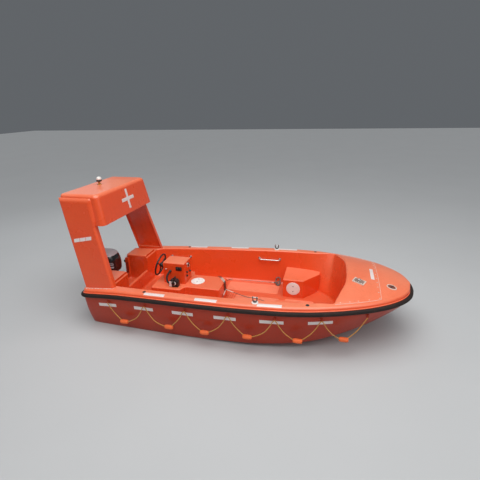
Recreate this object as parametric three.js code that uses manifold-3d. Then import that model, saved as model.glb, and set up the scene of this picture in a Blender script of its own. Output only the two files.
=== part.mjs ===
// An open 4.5 m rescue lifeboat with an arch and an outboard motor.
// Millimetres. +X is forward, +Y is port and +Z is up. The origin is on the waterline, on the
// centreline, midway between the fender's ends. Stations are distances forward of the stern fender.
import * as THREE from "three";
import { mergeVertices } from "three/addons/utils/BufferGeometryUtils.js";
import Module from "manifold-3d";

const wasm = await Module();
wasm.setup();

// Driving dimensions
const LENGTH = 4500;
const MIDSHIP = LENGTH / 2;
const STERN_SHEER = 590;
const JOINT_DROP = 75;
const JOINT_FLANGE = 40;
const FLOOR_Z = 150;
const SHELL = 40;
const GAP = 0.3;
const FENDER_HEIGHT = 56;
const FENDER_DEPTH = 45;
const TRANSOM_X = 45;
const TRANSOM_TOP = 320;
const TRANSOM_THICK = 60;
const NOTCH_HALF = 290;
const WELL_HALF = 300;
const WELL_FRONT = 400;
const WELL_FLOOR = 225;
const COCKPIT_AFT = 450;
const BULKHEAD_TOP = 395;
const CHEEK_TOP = 655;

// Hull stations. Columns: station, half breadth at the joint, chine half breadth, chine height,
// keel height, rise of the sheer above the stern, how far aft the keel point lies, and the foredeck's
// crown on the centreline.
const STATIONS = [
  [45, 790, 672, 10, -212, 0, 0, 0],
  [52, 818, 694, 10, -213, 1, 0, 0],
  [72, 842, 708, 10, -214, 3, 0, 0],
  [110, 856, 718, 10, -215, 6, 0, 0],
  [155, 860, 722, 10, -215, 9, 0, 0],
  [600, 880, 750, 14, -218, 40, 0, 0],
  [1200, 915, 780, 20, -220, 62, 0, 0],
  [1800, 945, 803, 32, -220, 80, 0, 0],
  [2400, 965, 812, 56, -215, 100, 0, 0],
  [2800, 958, 790, 90, -200, 112, 0, 0],
  [3150, 925, 738, 130, -165, 122, 20, 0],
  [3450, 862, 650, 178, -105, 130, 50, 110],
  [3750, 762, 528, 236, -15, 134, 90, 96],
  [4000, 642, 400, 292, 92, 134, 130, 66],
  [4200, 500, 270, 342, 210, 130, 150, 50],
  [4340, 350, 165, 388, 315, 126, 130, 25],
  [4420, 200, 85, 428, 392, 123, 95, 13],
  [4450, 60, 32, 455, 430, 122, 60, 10],
].map(([x, half, chine, chineZ, keelZ, rise, keelBack, crown]) => ({
  x: x - MIDSHIP,
  half,
  chine,
  chineZ,
  keelZ,
  sheer: STERN_SHEER + rise,
  keelBack,
  crown,
}));

// The gunwale's rounded outer edge. Columns: how far in from the side, and how far below the sheer.
const GUNWALE = [
  [0, 40],
  [7, 17],
  [22, 4],
  [48, 0],
];
const GUNWALE_WIDTH = 48;
const NARROW_HALF = 160;

// Where the deck's crown is drawn, as shares of the half breadth inside the gunwale
const CROWN_SHARES = [0.9, 0.75, 0.55, 0.35];
const CROWN_POWER = 2.2;

// Cockpit outline. Columns: station and half breadth of the rim, station and half breadth of the floor.
const COCKPIT = [
  [450, 700, 450, 632],
  [1000, 752, 1000, 690],
  [1800, 800, 1800, 735],
  [2500, 816, 2500, 752],
  [2950, 806, 2900, 722],
  [3300, 786, 3200, 620],
  [3420, 782, 3330, 520],
  [3475, 768, 3385, 470],
  [3503, 690, 3430, 420],
  [3560, 520, 3480, 340],
  [3612, 345, 3520, 240],
  [3628, 190, 3538, 130],
].map(([rimX, rim, floorX, floor]) => ({
  rimX: rimX - MIDSHIP,
  rim,
  floorX: floorX - MIDSHIP,
  floor,
}));

// Materials
const finish = (color, roughness, metalness = 0) =>
  new THREE.MeshStandardMaterial({ color, roughness, metalness });
const ORANGE = finish(0xd8431a, 0.45);
const BLACK_RUBBER = finish(0x1c1b1a, 0.85);
const WHITE_PLASTIC = finish(0xe6e4df, 0.5);
const BLACK_PLASTIC = finish(0x17181a, 0.5);
const STAINLESS = finish(0xb8babb, 0.25, 1);
const ROPE = finish(0xd9922c, 0.9);
const MOTOR_BLACK = finish(0x121315, 0.3);
const ALUMINIUM = finish(0x8b8f93, 0.5, 0.8);
const AMBER = finish(0xc98a1c, 0.4);

// Basic solids

// Turns a geometry into a closed solid, with shared vertices and outward faces.
function solid(geometry) {
  const bare = geometry.clone();
  bare.deleteAttribute("normal");
  bare.deleteAttribute("uv");
  const merged = mergeVertices(bare, 1e-3);
  const index = Array.from(merged.index.array);
  const positions = merged.attributes.position.array;
  const triVerts = signedVolume(positions, index) < 0 ? turned(index) : index;
  return new wasm.Manifold(
    new wasm.Mesh({
      numProp: 3,
      vertProperties: new Float32Array(positions),
      triVerts: new Uint32Array(triVerts),
    }),
  );
}

function signedVolume(positions, index) {
  const corner = (i) => new THREE.Vector3().fromArray(positions, 3 * i);
  let volume = 0;
  for (let i = 0; i < index.length; i += 3) {
    const [a, b, c] = [index[i], index[i + 1], index[i + 2]].map(corner);
    volume += a.dot(b.cross(c)) / 6;
  }
  return volume;
}

function turned(index) {
  const out = index.slice();
  for (let i = 0; i < out.length; i += 3) [out[i + 1], out[i + 2]] = [out[i + 2], out[i + 1]];
  return out;
}

// A closed skin over rings of equally many points, with a fan at each end.
function loft(rings) {
  const count = rings[0].length;
  const points = rings.flat();
  const index = [];
  for (let r = 0; r + 1 < rings.length; r++) {
    for (let i = 0; i < count; i++) {
      const a = r * count + i;
      const b = r * count + ((i + 1) % count);
      index.push(a, b, b + count, a, b + count, a + count);
    }
  }
  for (const end of [0, rings.length - 1]) {
    const centre = new THREE.Vector3();
    rings[end].forEach((p) => centre.addScaledVector(p, 1 / count));
    points.push(centre);
    for (let i = 0; i < count; i++) {
      const a = end * count + i;
      const b = end * count + ((i + 1) % count);
      if (end === 0) index.push(points.length - 1, b, a);
      else index.push(points.length - 1, a, b);
    }
  }
  return skin(points, index);
}

// A closed solid over points and the triangles between them.
function skin(points, index) {
  const flat = new Float32Array(points.flatMap((p) => [p.x, p.y, p.z]));
  const geometry = new THREE.BufferGeometry();
  geometry.setAttribute("position", new THREE.BufferAttribute(flat, 3));
  geometry.setIndex(index);
  return solid(geometry);
}

// A closed hoop of round bar through points in one plane with a unit normal.
function hoop(points, normal, radius, sides = 8) {
  const count = points.length;
  const section = Array.from({ length: sides }, (_, k) => (2 * Math.PI * k) / sides);
  const rings = points.map((p, i) => {
    const onward = points[(i + 1) % count].clone().sub(points[(i + count - 1) % count]);
    const outward = onward.cross(normal).setLength(radius);
    return section.map((angle) =>
      p.clone().addScaledVector(outward, Math.cos(angle)).addScaledVector(normal, radius * Math.sin(angle)),
    );
  });
  const index = [];
  for (let i = 0; i < count; i++) {
    for (let k = 0; k < sides; k++) {
      const [a, b] = [i * sides + k, i * sides + ((k + 1) % sides)];
      const [c, d] = [a, b].map((n) => (n + sides) % (count * sides));
      index.push(a, b, d, a, d, c);
    }
  }
  return skin(rings.flat(), index);
}

const v = (x, y, z) => new THREE.Vector3(x, y, z);
const at = (station) => station - MIDSHIP;

// A box between two stations, two sides and two heights.
function box(x0, x1, y0, y1, z0, z1) {
  const geometry = new THREE.BoxGeometry(x1 - x0, y1 - y0, z1 - z0);
  geometry.translate((x0 + x1) / 2, (y0 + y1) / 2, (z0 + z1) / 2);
  return solid(geometry);
}

// An upright prism over a plan outline of [x, y] points.
function prism(outline, z0, z1) {
  const shape = new THREE.Shape(outline.map(([x, y]) => new THREE.Vector2(x, y)));
  const geometry = new THREE.ExtrudeGeometry(shape, { depth: z1 - z0, bevelEnabled: false });
  geometry.translate(0, 0, z0);
  return solid(geometry);
}

// A prism across the boat over a side outline of [x, z] points.
function crossPrism(outline, y0, y1) {
  const shape = new THREE.Shape(outline.map(([x, z]) => new THREE.Vector2(x, z)));
  const geometry = new THREE.ExtrudeGeometry(shape, { depth: y1 - y0, bevelEnabled: false });
  geometry.rotateX(Math.PI / 2);
  geometry.translate(0, y1, 0);
  return solid(geometry);
}

// A turned piece: [radius, height] points about an axis that starts at base and follows direction.
function turnedPiece(profile, base, direction, sides = 24) {
  const geometry = new THREE.LatheGeometry(
    profile.map(([r, z]) => new THREE.Vector2(r, z)),
    sides,
  );
  const turn = new THREE.Quaternion().setFromUnitVectors(v(0, 1, 0), direction.clone().normalize());
  geometry.applyQuaternion(turn);
  geometry.translate(base.x, base.y, base.z);
  return solid(geometry);
}

function rod(from, to, radius, sides = 12) {
  const length = from.distanceTo(to);
  const profile = [
    [0, 0],
    [radius, 0],
    [radius, length],
    [0, length],
  ];
  return turnedPiece(profile, from, to.clone().sub(from), sides);
}

// A round tube along a curve.
function tube(curve, radius, steps, sides = 8) {
  const shape = new THREE.Shape();
  for (let i = 0; i < sides; i++) {
    const angle = (2 * Math.PI * i) / sides;
    const [x, y] = [radius * Math.cos(angle), radius * Math.sin(angle)];
    if (i === 0) shape.moveTo(x, y);
    else shape.lineTo(x, y);
  }
  return solid(new THREE.ExtrudeGeometry(shape, { steps, extrudePath: curve, bevelEnabled: false }));
}

const spline = (points) => new THREE.CatmullRomCurve3(points, false, "centripetal");
const joined = (...pieces) => pieces.reduce((sum, piece) => sum.add(piece));

const boat = new THREE.Group();

function add(name, shape, material, group = boat) {
  const data = shape.getMesh();
  const geometry = new THREE.BufferGeometry();
  geometry.setAttribute("position", new THREE.BufferAttribute(data.vertProperties, 3));
  geometry.setIndex(new THREE.BufferAttribute(data.triVerts, 1));
  geometry.computeVertexNormals();
  const mesh = new THREE.Mesh(geometry, material);
  mesh.name = name;
  group.add(mesh);
  return mesh;
}

// Values along the boat

function along(table, key, x) {
  const last = table.length - 1;
  const i = Math.max(1, table.findIndex((row, n) => n === last || row.x >= x));
  const [a, b] = [table[i - 1], table[i]];
  const t = (x - a.x) / (b.x - a.x);
  return a[key] + t * (b[key] - a[key]);
}

const sheerAt = (x) => along(STATIONS, "sheer", x);
const halfAt = (x) => along(STATIONS, "half", x);
const rimAt = (x) =>
  along(
    COCKPIT.map((row) => ({ x: row.rimX, half: row.rim })),
    "half",
    x,
  );

// Half breadth of the cockpit wall at a height between the floor and the rim.
function wallAt(x, z) {
  const floors = COCKPIT.map((row) => ({ x: row.floorX, half: row.floor }));
  const floor = along(floors, "half", x);
  const t = (z - FLOOR_Z) / (sheerAt(x) - FLOOR_Z);
  return floor + t * (rimAt(x) - floor);
}

// Hull and deck

// One ring of the hull, from its port top edge round the keel to starboard.
function hullRing(s, drop = JOINT_DROP) {
  const joint = s.sheer - JOINT_DROP;
  const bulge = 0.04 * (joint - s.chineZ);
  const side = [
    [s.half, s.sheer - drop, 0],
    [s.half, joint - JOINT_FLANGE, 0],
    [(s.half + s.chine) / 2 + bulge, (joint - JOINT_FLANGE + s.chineZ) / 2, 0.25 * s.keelBack],
    [s.chine, s.chineZ, 0.5 * s.keelBack],
  ];
  const port = side.map(([y, z, back]) => v(s.x - back, y, z));
  const starboard = side.map(([y, z, back]) => v(s.x - back, -y, z)).reverse();
  return [...port, v(s.x - s.keelBack, 0, s.keelZ), ...starboard];
}

// How wide the gunwale's rounding is drawn where the deck gets narrow at the bow.
const edgeScale = (half) => Math.min(1, half / NARROW_HALF);

// The crown's share of its height, from 1 on the centreline to 0 at the gunwale.
const crownShare = (share) => 1 - Math.pow(Math.min(1, share), CROWN_POWER);

// Height of the deck's surface, inside the gunwale's rounding.
function deckHeight(x, y) {
  const half = halfAt(x);
  const inside = half - GUNWALE_WIDTH * edgeScale(half);
  return sheerAt(x) + along(STATIONS, "crown", x) * crownShare(Math.abs(y) / inside);
}

// One ring of the deck above the joint, lifted by a distance. The gunwale's outer edge is rounded.
function deckRing({ x, half, sheer, crown }, lift = 0) {
  const top = sheer + lift;
  const scale = edgeScale(half);
  const inside = half - GUNWALE_WIDTH * scale;
  const side = [
    [half, top - JOINT_DROP + GAP],
    ...GUNWALE.map(([inward, drop]) => [half - inward * scale, top - drop]),
    ...CROWN_SHARES.map((share) => [share * inside, top + crown * crownShare(share)]),
  ];
  const port = side.map(([y, z]) => v(x, y, z));
  const starboard = side.map(([y, z]) => v(x, -y, z)).reverse();
  return [...port, v(x, 0, top + crown), ...starboard];
}

const deckBody = (lift) => loft(STATIONS.map((s) => deckRing(s, lift)));

// Cuts a piece that stands on the deck to the deck's own surface, or to a plate's top above it.
const seated = (piece, lift = GAP) => piece.subtract(deckBody(lift));

// Offsets a plan path sideways, with mitred corners. A closed path's ends meet.
function offsetPath(path, distance, closed = false) {
  const last = path.length - 1;
  return path.map((p, i) => {
    const before = closed && i === 0 ? path[last] : path[Math.max(0, i - 1)];
    const after = closed && i === last ? path[0] : path[Math.min(last, i + 1)];
    const normals = [
      [before, p],
      [p, after],
    ]
      .filter(([a, b]) => a !== b)
      .map(([a, b]) => {
        const [dx, dy] = [b.x - a.x, b.y - a.y];
        const length = Math.hypot(dx, dy);
        return [dy / length, -dx / length];
      });
    const [nx, ny] = [0, 1].map((k) => normals.reduce((sum, n) => sum + n[k], 0) / normals.length);
    const stretch = distance / (nx * nx + ny * ny);
    return v(p.x + nx * stretch, p.y + ny * stretch, p.z);
  });
}

// How far the cockpit's rounded rim starts below the deck, and how far its cut runs on above it
const RIM_DROP = 20;
const RIM_ABOVE = 100;
const RIM_SPREAD = 1.03;

// The cockpit's hollow, grown or shrunk sideways by a distance. Its rim is rounded by a wider top.
function cockpitSpace(grow, floorZ, rounded) {
  const outline = (key, keyX) => {
    const port = COCKPIT.map((row) => v(row[keyX], row[key], 0));
    const starboard = port.map((p) => v(p.x, -p.y, 0)).reverse();
    return offsetPath([...port, ...starboard], -grow, true);
  };
  const rim = outline("rim", "rimX");
  const [drop, spread] = rounded ? [RIM_DROP, RIM_SPREAD] : [0, 1];
  return loft([
    outline("floor", "floorX").map(({ x, y }) => v(x, y, floorZ)),
    rim.map(({ x, y }) => v(x, y, deckHeight(x, y) - drop)),
    rim.map(({ x, y }) => v(x, y * spread, deckHeight(x, y) + RIM_ABOVE)),
  ]);
}

function motorWell(grow, floorZ) {
  const aft = at(TRANSOM_X + TRANSOM_THICK);
  return box(aft, at(WELL_FRONT) + grow, -WELL_HALF - grow, WELL_HALF + grow, floorZ, 900);
}

// The cheeks either side of the motor well, on the aft deck.
function cheek(side) {
  const [inner, outer] = [WELL_HALF, 610];
  const [aft, front] = [at(70), at(COCKPIT_AFT)];
  const outline = [
    [inner, STERN_SHEER - 30],
    [outer, STERN_SHEER - 30],
    [outer, CHEEK_TOP - 30],
    [outer - 30, CHEEK_TOP],
    [inner + 25, CHEEK_TOP],
    [inner, CHEEK_TOP - 25],
  ];
  const ring = (x) => outline.map(([y, z]) => v(x, side * y, z));
  return loft([ring(aft), ring(front)]);
}

function buildHullAndDeck() {
  const notch = box(at(-100), at(TRANSOM_X + TRANSOM_THICK), -NOTCH_HALF, NOTCH_HALF, TRANSOM_TOP, 900);
  const cockpit = cockpitSpace(0, FLOOR_Z, true);
  const tub = cockpitSpace(SHELL, FLOOR_Z - SHELL, false);
  const tubSeat = cockpitSpace(SHELL + GAP, FLOOR_Z - SHELL - GAP, false);
  const wellSeat = motorWell(SHELL + GAP, WELL_FLOOR - SHELL - GAP);
  const lowerHull = loft(STATIONS.map((s) => hullRing(s)));
  const wholeHull = loft(STATIONS.map((s) => hullRing(s, JOINT_DROP / 2)));
  const hull = lowerHull.subtract(tubSeat).subtract(wellSeat).subtract(notch);
  add("hull_shell", hull.add(grabLineEyes()), ORANGE);

  const moulding = joined(deckBody(0), cheek(1), cheek(-1));
  const liner = tub.add(motorWell(SHELL, WELL_FLOOR - SHELL)).intersect(wholeHull);
  const space = cockpit.add(motorWell(0, WELL_FLOOR));
  const pass = box(at(WELL_FRONT - 10), at(COCKPIT_AFT + 10), -WELL_HALF, WELL_HALF, BULKHEAD_TOP, 900);
  const deck = moulding.add(liner).subtract(space).subtract(notch).subtract(pass);
  add("deck_liner", deck, ORANGE);
}

// Grab line eyes, under the fender
const EYE_STATIONS = [463, 1032, 1618, 2206, 2798, 3350, 3880];
const EYE_DROP = 150;
const EYE_REACH = 22;
const EYE_CLEAR = 0.8;
const LINE_RADIUS = 6;

function eyePlace(station, side) {
  const x = at(station);
  return v(x, side * halfAt(x), sheerAt(x) - EYE_DROP);
}

// Half breadth of the hull's topside at a height, between the joint's flange and the chine.
function topsideAt(x, z) {
  const joint = sheerAt(x) - JOINT_DROP - JOINT_FLANGE;
  const chineZ = along(STATIONS, "chineZ", x);
  const chine = along(STATIONS, "chine", x);
  const half = halfAt(x);
  const middleZ = (joint + chineZ) / 2;
  const middle = (half + chine) / 2 + 0.04 * (joint + JOINT_FLANGE - chineZ);
  if (z > middleZ) return middle + ((half - middle) * (z - middleZ)) / (joint - middleZ);
  return chine + ((middle - chine) * (z - chineZ)) / (middleZ - chineZ);
}

function grabLineEyes() {
  const eyes = [];
  for (const station of EYE_STATIONS) {
    for (const side of [1, -1]) {
      const p = eyePlace(station, side);
      const inner = topsideAt(p.x, p.z) - 25;
      const outer = Math.abs(p.y) + EYE_REACH - LINE_RADIUS - EYE_CLEAR;
      const [y0, y1] = side > 0 ? [inner, outer] : [-outer, -inner];
      eyes.push(box(p.x - 16, p.x + 16, y0, y1, p.z - 28, p.z + 12));
    }
  }
  return joined(...eyes);
}

// Fender, in a length along each side and one round the bow, which meet end to end

const FENDER_SECTION = [
  [0, -0.5],
  [0.55, -0.5],
  [0.9, -0.25],
  [1, 0],
  [0.9, 0.25],
  [0.55, 0.5],
  [0, 0.5],
].map(([out, up]) => [Math.max(GAP, out * FENDER_DEPTH), up * FENDER_HEIGHT]);
const FENDER_JOINT = at(3450);

function buildFender() {
  const port = STATIONS.map((s) => v(s.x, s.half, s.sheer - JOINT_DROP));
  const start = v(at(TRANSOM_X), NOTCH_HALF + 30, STERN_SHEER - JOINT_DROP);
  const portPath = [start, ...port];
  const starboardPath = portPath.map((p) => v(p.x, -p.y, p.z));
  const path = [...starboardPath, ...portPath.reverse()];
  const offsets = FENDER_SECTION.map(([out]) => offsetPath(path, out));
  const rings = path.map((_, i) =>
    FENDER_SECTION.map(([, up], k) => v(offsets[k][i].x, offsets[k][i].y, offsets[k][i].z + up)),
  );
  const joint = starboardPath.findIndex((p) => p.x >= FENDER_JOINT);
  const last = rings.length - 1;
  const eased = (from, to) =>
    rings[from].map((p, k) => p.clone().lerp(rings[to][k], GAP / p.distanceTo(rings[to][k])));
  const bow = [
    eased(joint, joint + 1),
    ...rings.slice(joint + 1, last - joint),
    eased(last - joint, last - joint - 1),
  ];
  add("fender_starboard", loft(rings.slice(0, joint + 1)), BLACK_RUBBER);
  add("fender_bow", loft(bow), BLACK_RUBBER);
  add("fender_port", loft(rings.slice(last - joint)), BLACK_RUBBER);
}

// Foredeck panel: a thin plate on the crowned deck, from the cockpit's rim to before the fitting

const PANEL = { aft: 3495, front: 4040, thick: 4, border: 62, step: 26 };

function buildForedeckPanel() {
  const sides = [PANEL.aft, 3620, 3750, 3900, 4000, PANEL.front];
  const rim = COCKPIT.slice(-4).reverse();
  const port = [
    ...rim.map((row) => [row.rimX + PANEL.step, row.rim]),
    ...sides.map((station) => [at(station), halfAt(at(station)) - PANEL.border]),
  ];
  const outline = [...port, ...port.map(([x, y]) => [x, -y]).reverse()];
  const over = prism(outline, STERN_SHEER, STERN_SHEER + 400);
  add("foredeck_panel", seated(over.intersect(deckBody(PANEL.thick + GAP))), ORANGE);
}

// Arch

const CAP_BOTTOM = 1490;
const CAP_TOP = 1912;
const ARCH = {
  footAft: at(62),
  footFront: at(508),
  footZ: 640,
  lean: 0.275,
  frontLean: 0.31,
  outerFoot: 800,
  outerTop: 685,
  thick: 120,
};
const CAP = { front: at(430), lean: 0.2, corner: 70, aftCorner: 12 };

// The panel over each end of the cap. Columns: height, front edge's station, inset of the outer face.
const PANEL_THICK = 28;
const END_PANEL = [
  [CAP_BOTTOM - 20, 251, 0],
  [CAP_BOTTOM + 50, 292, 0],
  [1820, 284, 0],
  [1865, 262, 22],
];

const archOuter = (z) => {
  const t = (z - ARCH.footZ) / (CAP_TOP - ARCH.footZ);
  return ARCH.outerFoot + t * (ARCH.outerTop - ARCH.outerFoot);
};
const archAft = (z) => ARCH.footAft - ARCH.lean * (z - ARCH.footZ);
const archFront = (z) => ARCH.footFront - ARCH.frontLean * (z - ARCH.footZ);

// A ring of the leg at a height: a rectangle whose outer corners are rounded, with its outer face
// drawn in by an inset.
function legRing(side, thick, z, front, inset = 0) {
  const aft = archAft(z);
  const plan = [
    [aft + 25, 0],
    [aft, 25],
    [aft, thick],
    [front, thick],
    [front, Math.min(thick - 5, 85)],
    [front - 24, 24],
    [front - 85, 0],
  ];
  return plan.map(([x, inward]) => v(x, side * (archOuter(z) - Math.max(inward, inset)), z));
}

function buildArch() {
  for (const [name, side] of [
    ["arch_leg_port", 1],
    ["arch_leg_starboard", -1],
  ]) {
    const [foot, head] = [STERN_SHEER - 30, CAP_BOTTOM - GAP];
    const leg = loft([foot, head].map((z) => legRing(side, ARCH.thick, z, archFront(z))));
    const panel = loft(
      END_PANEL.map(([z, front, inset]) => legRing(side, PANEL_THICK, z, at(front), inset)),
    );
    add(name, seated(leg.add(panel)), ORANGE);
  }
  const ring = (z, inset) => {
    const half = archOuter(z) - PANEL_THICK - GAP - inset;
    const aft = archAft(z) + inset;
    const front = CAP.front - CAP.lean * (z - CAP_BOTTOM) - inset;
    const arc = [0, 0.5, 1].map((t) => {
      const angle = (Math.PI / 2) * (1 - t);
      return [front - CAP.corner * (1 - Math.cos(angle)), half - CAP.corner * (1 - Math.sin(angle))];
    });
    const port = [[aft, half - CAP.aftCorner], [aft + CAP.aftCorner, half], ...arc];
    const points = [...port, ...port.map(([x, y]) => [x, -y]).reverse()];
    return points.map(([x, y]) => v(x, y, z));
  };
  const cap = loft([
    ring(CAP_BOTTOM, 0),
    ring(CAP_TOP - 50, 0),
    ring(CAP_TOP - 14, 15),
    ring(CAP_TOP, 50),
  ]);
  add("arch_cap", cap, ORANGE);
}

// All-round light on the cap

const STEM_TALL = 74;

function buildLight() {
  const base = v(at(-48), 0, CAP_TOP + GAP);
  const up = v(0, 0, 1);
  const stem = [
    [0, 0],
    [34, 0],
    [34, 6],
    [17, 10],
    [17, STEM_TALL - 30],
    [40, STEM_TALL - 24],
    [40, STEM_TALL],
    [0, STEM_TALL],
  ];
  add("light_stem", turnedPiece(stem, base, up, 16), AMBER);
  const dome = [
    [0, 0],
    [36, 0],
    [38, 12],
    [32, 32],
    [16, 43],
    [0, 46],
  ];
  add("light_dome", turnedPiece(dome, base.clone().add(v(0, 0, STEM_TALL + GAP)), up, 16), WHITE_PLASTIC);
}

// Seat box, console and what they carry

const SEAT_TOP = 440;
const PLINTH = { aft: at(820), front: at(1285), half: 325 };
const SEAT = { front: at(1860), half: 212 };
const CONSOLE = { aft: at(954), front: at(1302), half: 136, top: 770 };

function buildSeatBox() {
  const half = [
    [PLINTH.aft, PLINTH.half],
    [PLINTH.front, PLINTH.half],
    [at(1330), SEAT.half],
    [SEAT.front - 70, SEAT.half],
    [SEAT.front, SEAT.half - 60],
  ];
  const outline = [...half, ...half.map(([x, y]) => [x, -y]).reverse()];
  const rings = [
    [0, FLOOR_Z + GAP],
    [0, SEAT_TOP - 14],
    [14, SEAT_TOP],
  ].map(([inset, z]) => {
    const middle = (PLINTH.aft + SEAT.front) / 2;
    const pull = (x) => x - inset * Math.sign(x - middle);
    return outline.map(([x, y]) => v(pull(x), y - inset * Math.sign(y), z));
  });
  add("seat_box", loft(rings), ORANGE);
}

function buildConsole() {
  const { aft, front, half, top } = CONSOLE;
  const ring = (z, inset) =>
    [
      [aft + inset, -half + inset],
      [front - inset, -half + inset],
      [front - inset, half - inset],
      [aft + inset, half - inset],
    ].map(([x, y]) => v(x, y, z));
  add("console", loft([ring(SEAT_TOP + GAP, 0), ring(top - 15, 0), ring(top, 15)]), ORANGE);

  const gauge = [
    [0, 0],
    [38, 0],
    [38, 12],
    [32, 20],
    [0, 20],
  ];
  add("gauge", turnedPiece(gauge, v(front + GAP, 10, 700), v(1, 0, 0), 24), STAINLESS);
  const panel = box(at(1165), at(1260), -half - GAP - 16, -half - GAP, 655, 715);
  add("socket_panel", panel, BLACK_PLASTIC);
}

const CONTROL = { x: at(1165), y: -215, z: SEAT_TOP + GAP };

function buildControlBox() {
  const { x, y, z } = CONTROL;
  const outline = [
    [x - 68, z],
    [x + 68, z],
    [x + 68, z + 80],
    [x + 45, z + 112],
    [x - 45, z + 112],
    [x - 68, z + 80],
  ];
  const body = crossPrism(outline, y - 45, y + 35);
  add("control_box", body, BLACK_PLASTIC);
  const lever = joined(
    rod(v(x, y - 45 - GAP, z + 62), v(x, y - 62, z + 62), 26, 16),
    rod(v(x, y - 56, z + 62), v(x + 30, y - 56, z + 160), 8, 8),
    rod(v(x + 30, y - 75, z + 160), v(x + 30, y - 20, z + 160), 13, 10),
  );
  add("throttle_lever", lever, BLACK_PLASTIC);
}

// The control cable's hose, from its boss on the console's side down into the control box
const HOSE_RADIUS = 12;
const HOSE_ROUTE = [
  [1075, -130, 640],
  [1072, -170, 636],
  [1052, -196, 600],
  [1040, -206, 550],
  [1048, -212, 505],
  [1070, -215, 482],
  [1100, -215, 478],
];

function buildHose() {
  const points = HOSE_ROUTE.map(([station, y, z]) => v(at(station), y, z));
  const side = box(CONSOLE.aft, CONSOLE.front, -CONSOLE.half - GAP, 0, SEAT_TOP, CONSOLE.top);
  const control = box(CONTROL.x - 68 - GAP, CONTROL.x, CONTROL.y - 45, CONTROL.y + 35, SEAT_TOP, SEAT_TOP + 80);
  const hose = tube(spline(points), HOSE_RADIUS, 24).subtract(side).subtract(control);
  add("control_hose", hose, BLACK_RUBBER);
}

// Steering wheel, on the console's aft face
const WHEEL = {
  boss: v(CONSOLE.aft - GAP, 0, 640),
  axis: v(-Math.cos(THREE.MathUtils.degToRad(15)), 0, Math.sin(THREE.MathUtils.degToRad(15))),
  radius: 165,
  rim: 13,
};

function buildSteering() {
  const { boss, axis, radius, rim } = WHEEL;
  const wedge = rod(boss.clone().addScaledVector(axis, -60), boss.clone().addScaledVector(axis, 70), 48, 24);
  const face = box(at(500), boss.x, -200, 200, 400, 900);
  add("steering_boss", wedge.intersect(face), BLACK_PLASTIC);
  const hubStart = boss.clone().addScaledVector(axis, 70 + 0.5);
  const hub = rod(hubStart, hubStart.clone().addScaledVector(axis, 50), 34, 24);
  const centre = hubStart.clone().addScaledVector(axis, 38);
  const ring = [];
  for (let i = 0; i <= 12; i++) {
    const angle = (2 * Math.PI * i) / 12;
    ring.push([radius + rim * Math.cos(angle), rim * Math.sin(angle)]);
  }
  let wheel = hub.add(turnedPiece(ring, centre, axis, 40));
  const across = v(0, 1, 0);
  const upward = axis.clone().cross(across).normalize();
  for (const angle of [90, 210, 330]) {
    const a = THREE.MathUtils.degToRad(angle);
    const reach = across.clone().multiplyScalar(Math.cos(a)).addScaledVector(upward, Math.sin(a));
    wheel = wheel.add(rod(centre, centre.clone().addScaledVector(reach, radius), 9, 8));
  }
  add("steering_wheel", wheel, BLACK_PLASTIC);
}

// Forward lockers against the cockpit walls

function buildLockers() {
  const space = cockpitSpace(-GAP, FLOOR_Z + GAP, true);
  for (const [name, side] of [
    ["locker_port", 1],
    ["locker_starboard", -1],
  ]) {
    const outline = [
      [at(2720), 310 * side],
      [at(3035), 310 * side],
      [at(3262), 600 * side],
      [at(3262), 1000 * side],
      [at(2720), 1000 * side],
    ];
    add(name, prism(outline, FLOOR_Z - 10, SEAT_TOP).intersect(space), ORANGE);
  }
}

// Round hatches: a white plate with a low rim

function hatch(name, centre, direction) {
  const profile = [
    [0, 0],
    [104, 0],
    [104, 8],
    [98, 12],
    [0, 12],
  ];
  add(name, turnedPiece(profile, centre, direction, 32), WHITE_PLASTIC);
}

function buildHatches() {
  hatch("hatch_seat", v(at(1455), 0, SEAT_TOP + GAP), v(0, 0, 1));
  for (const [name, side] of [
    ["hatch_locker_port", 1],
    ["hatch_locker_starboard", -1],
  ]) {
    hatch(name, v(at(2880), (310 - GAP) * side, 300), v(0, -side, 0));
  }
}

// Handrails on the cockpit walls

function buildHandrails() {
  const space = cockpitSpace(-GAP, FLOOR_Z + GAP, true);
  const radius = 11;
  const stand = 48;
  for (const [place, aft, front] of [
    ["aft", 715, 1050],
    ["forward", 2262, 2602],
  ]) {
    for (const [sideName, side] of [
      ["port", 1],
      ["starboard", -1],
    ]) {
      const z = sheerAt(at(aft)) - 135;
      const ends = [at(aft), at(front)].map((x) => {
        const wall = wallAt(x, z);
        return { wall: v(x, side * (wall + 30), z), bar: v(x, side * (wall - stand), z), face: wall };
      });
      const bar = rod(ends[0].bar.clone().add(v(-radius, 0, 0)), ends[1].bar.clone().add(v(radius, 0, 0)), radius);
      const legs = ends.map((end) => rod(end.bar, end.wall, radius));
      const feet = ends.map((end) => {
        const foot = v(end.bar.x, side * (end.face - 6), z);
        return rod(foot, end.wall, 24, 16);
      });
      add(`handrail_${place}_${sideName}`, joined(bar, ...legs, ...feet).intersect(space), STAINLESS);
    }
  }
}

// Lifting eyes on the gunwales, with their white pads

const LIFT_STATION = 2541;
const LIFT_Y = 888;
const LIFT_BOW = { half: 26, straight: 40, radius: 8 };

// An upright U of round bar over a point, its legs apart along the boat or across it.
function staple(foot, { half, straight, radius }, apart) {
  const points = [foot.clone().addScaledVector(apart, -half).add(v(0, 0, 2))];
  for (let i = 0; i <= 12; i++) {
    const angle = Math.PI * (i / 12);
    const sideways = foot.clone().addScaledVector(apart, -half * Math.cos(angle));
    points.push(sideways.add(v(0, 0, straight + half * Math.sin(angle))));
  }
  points.push(foot.clone().addScaledVector(apart, half).add(v(0, 0, 2)));
  return tube(spline(points), radius, 14);
}

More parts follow.
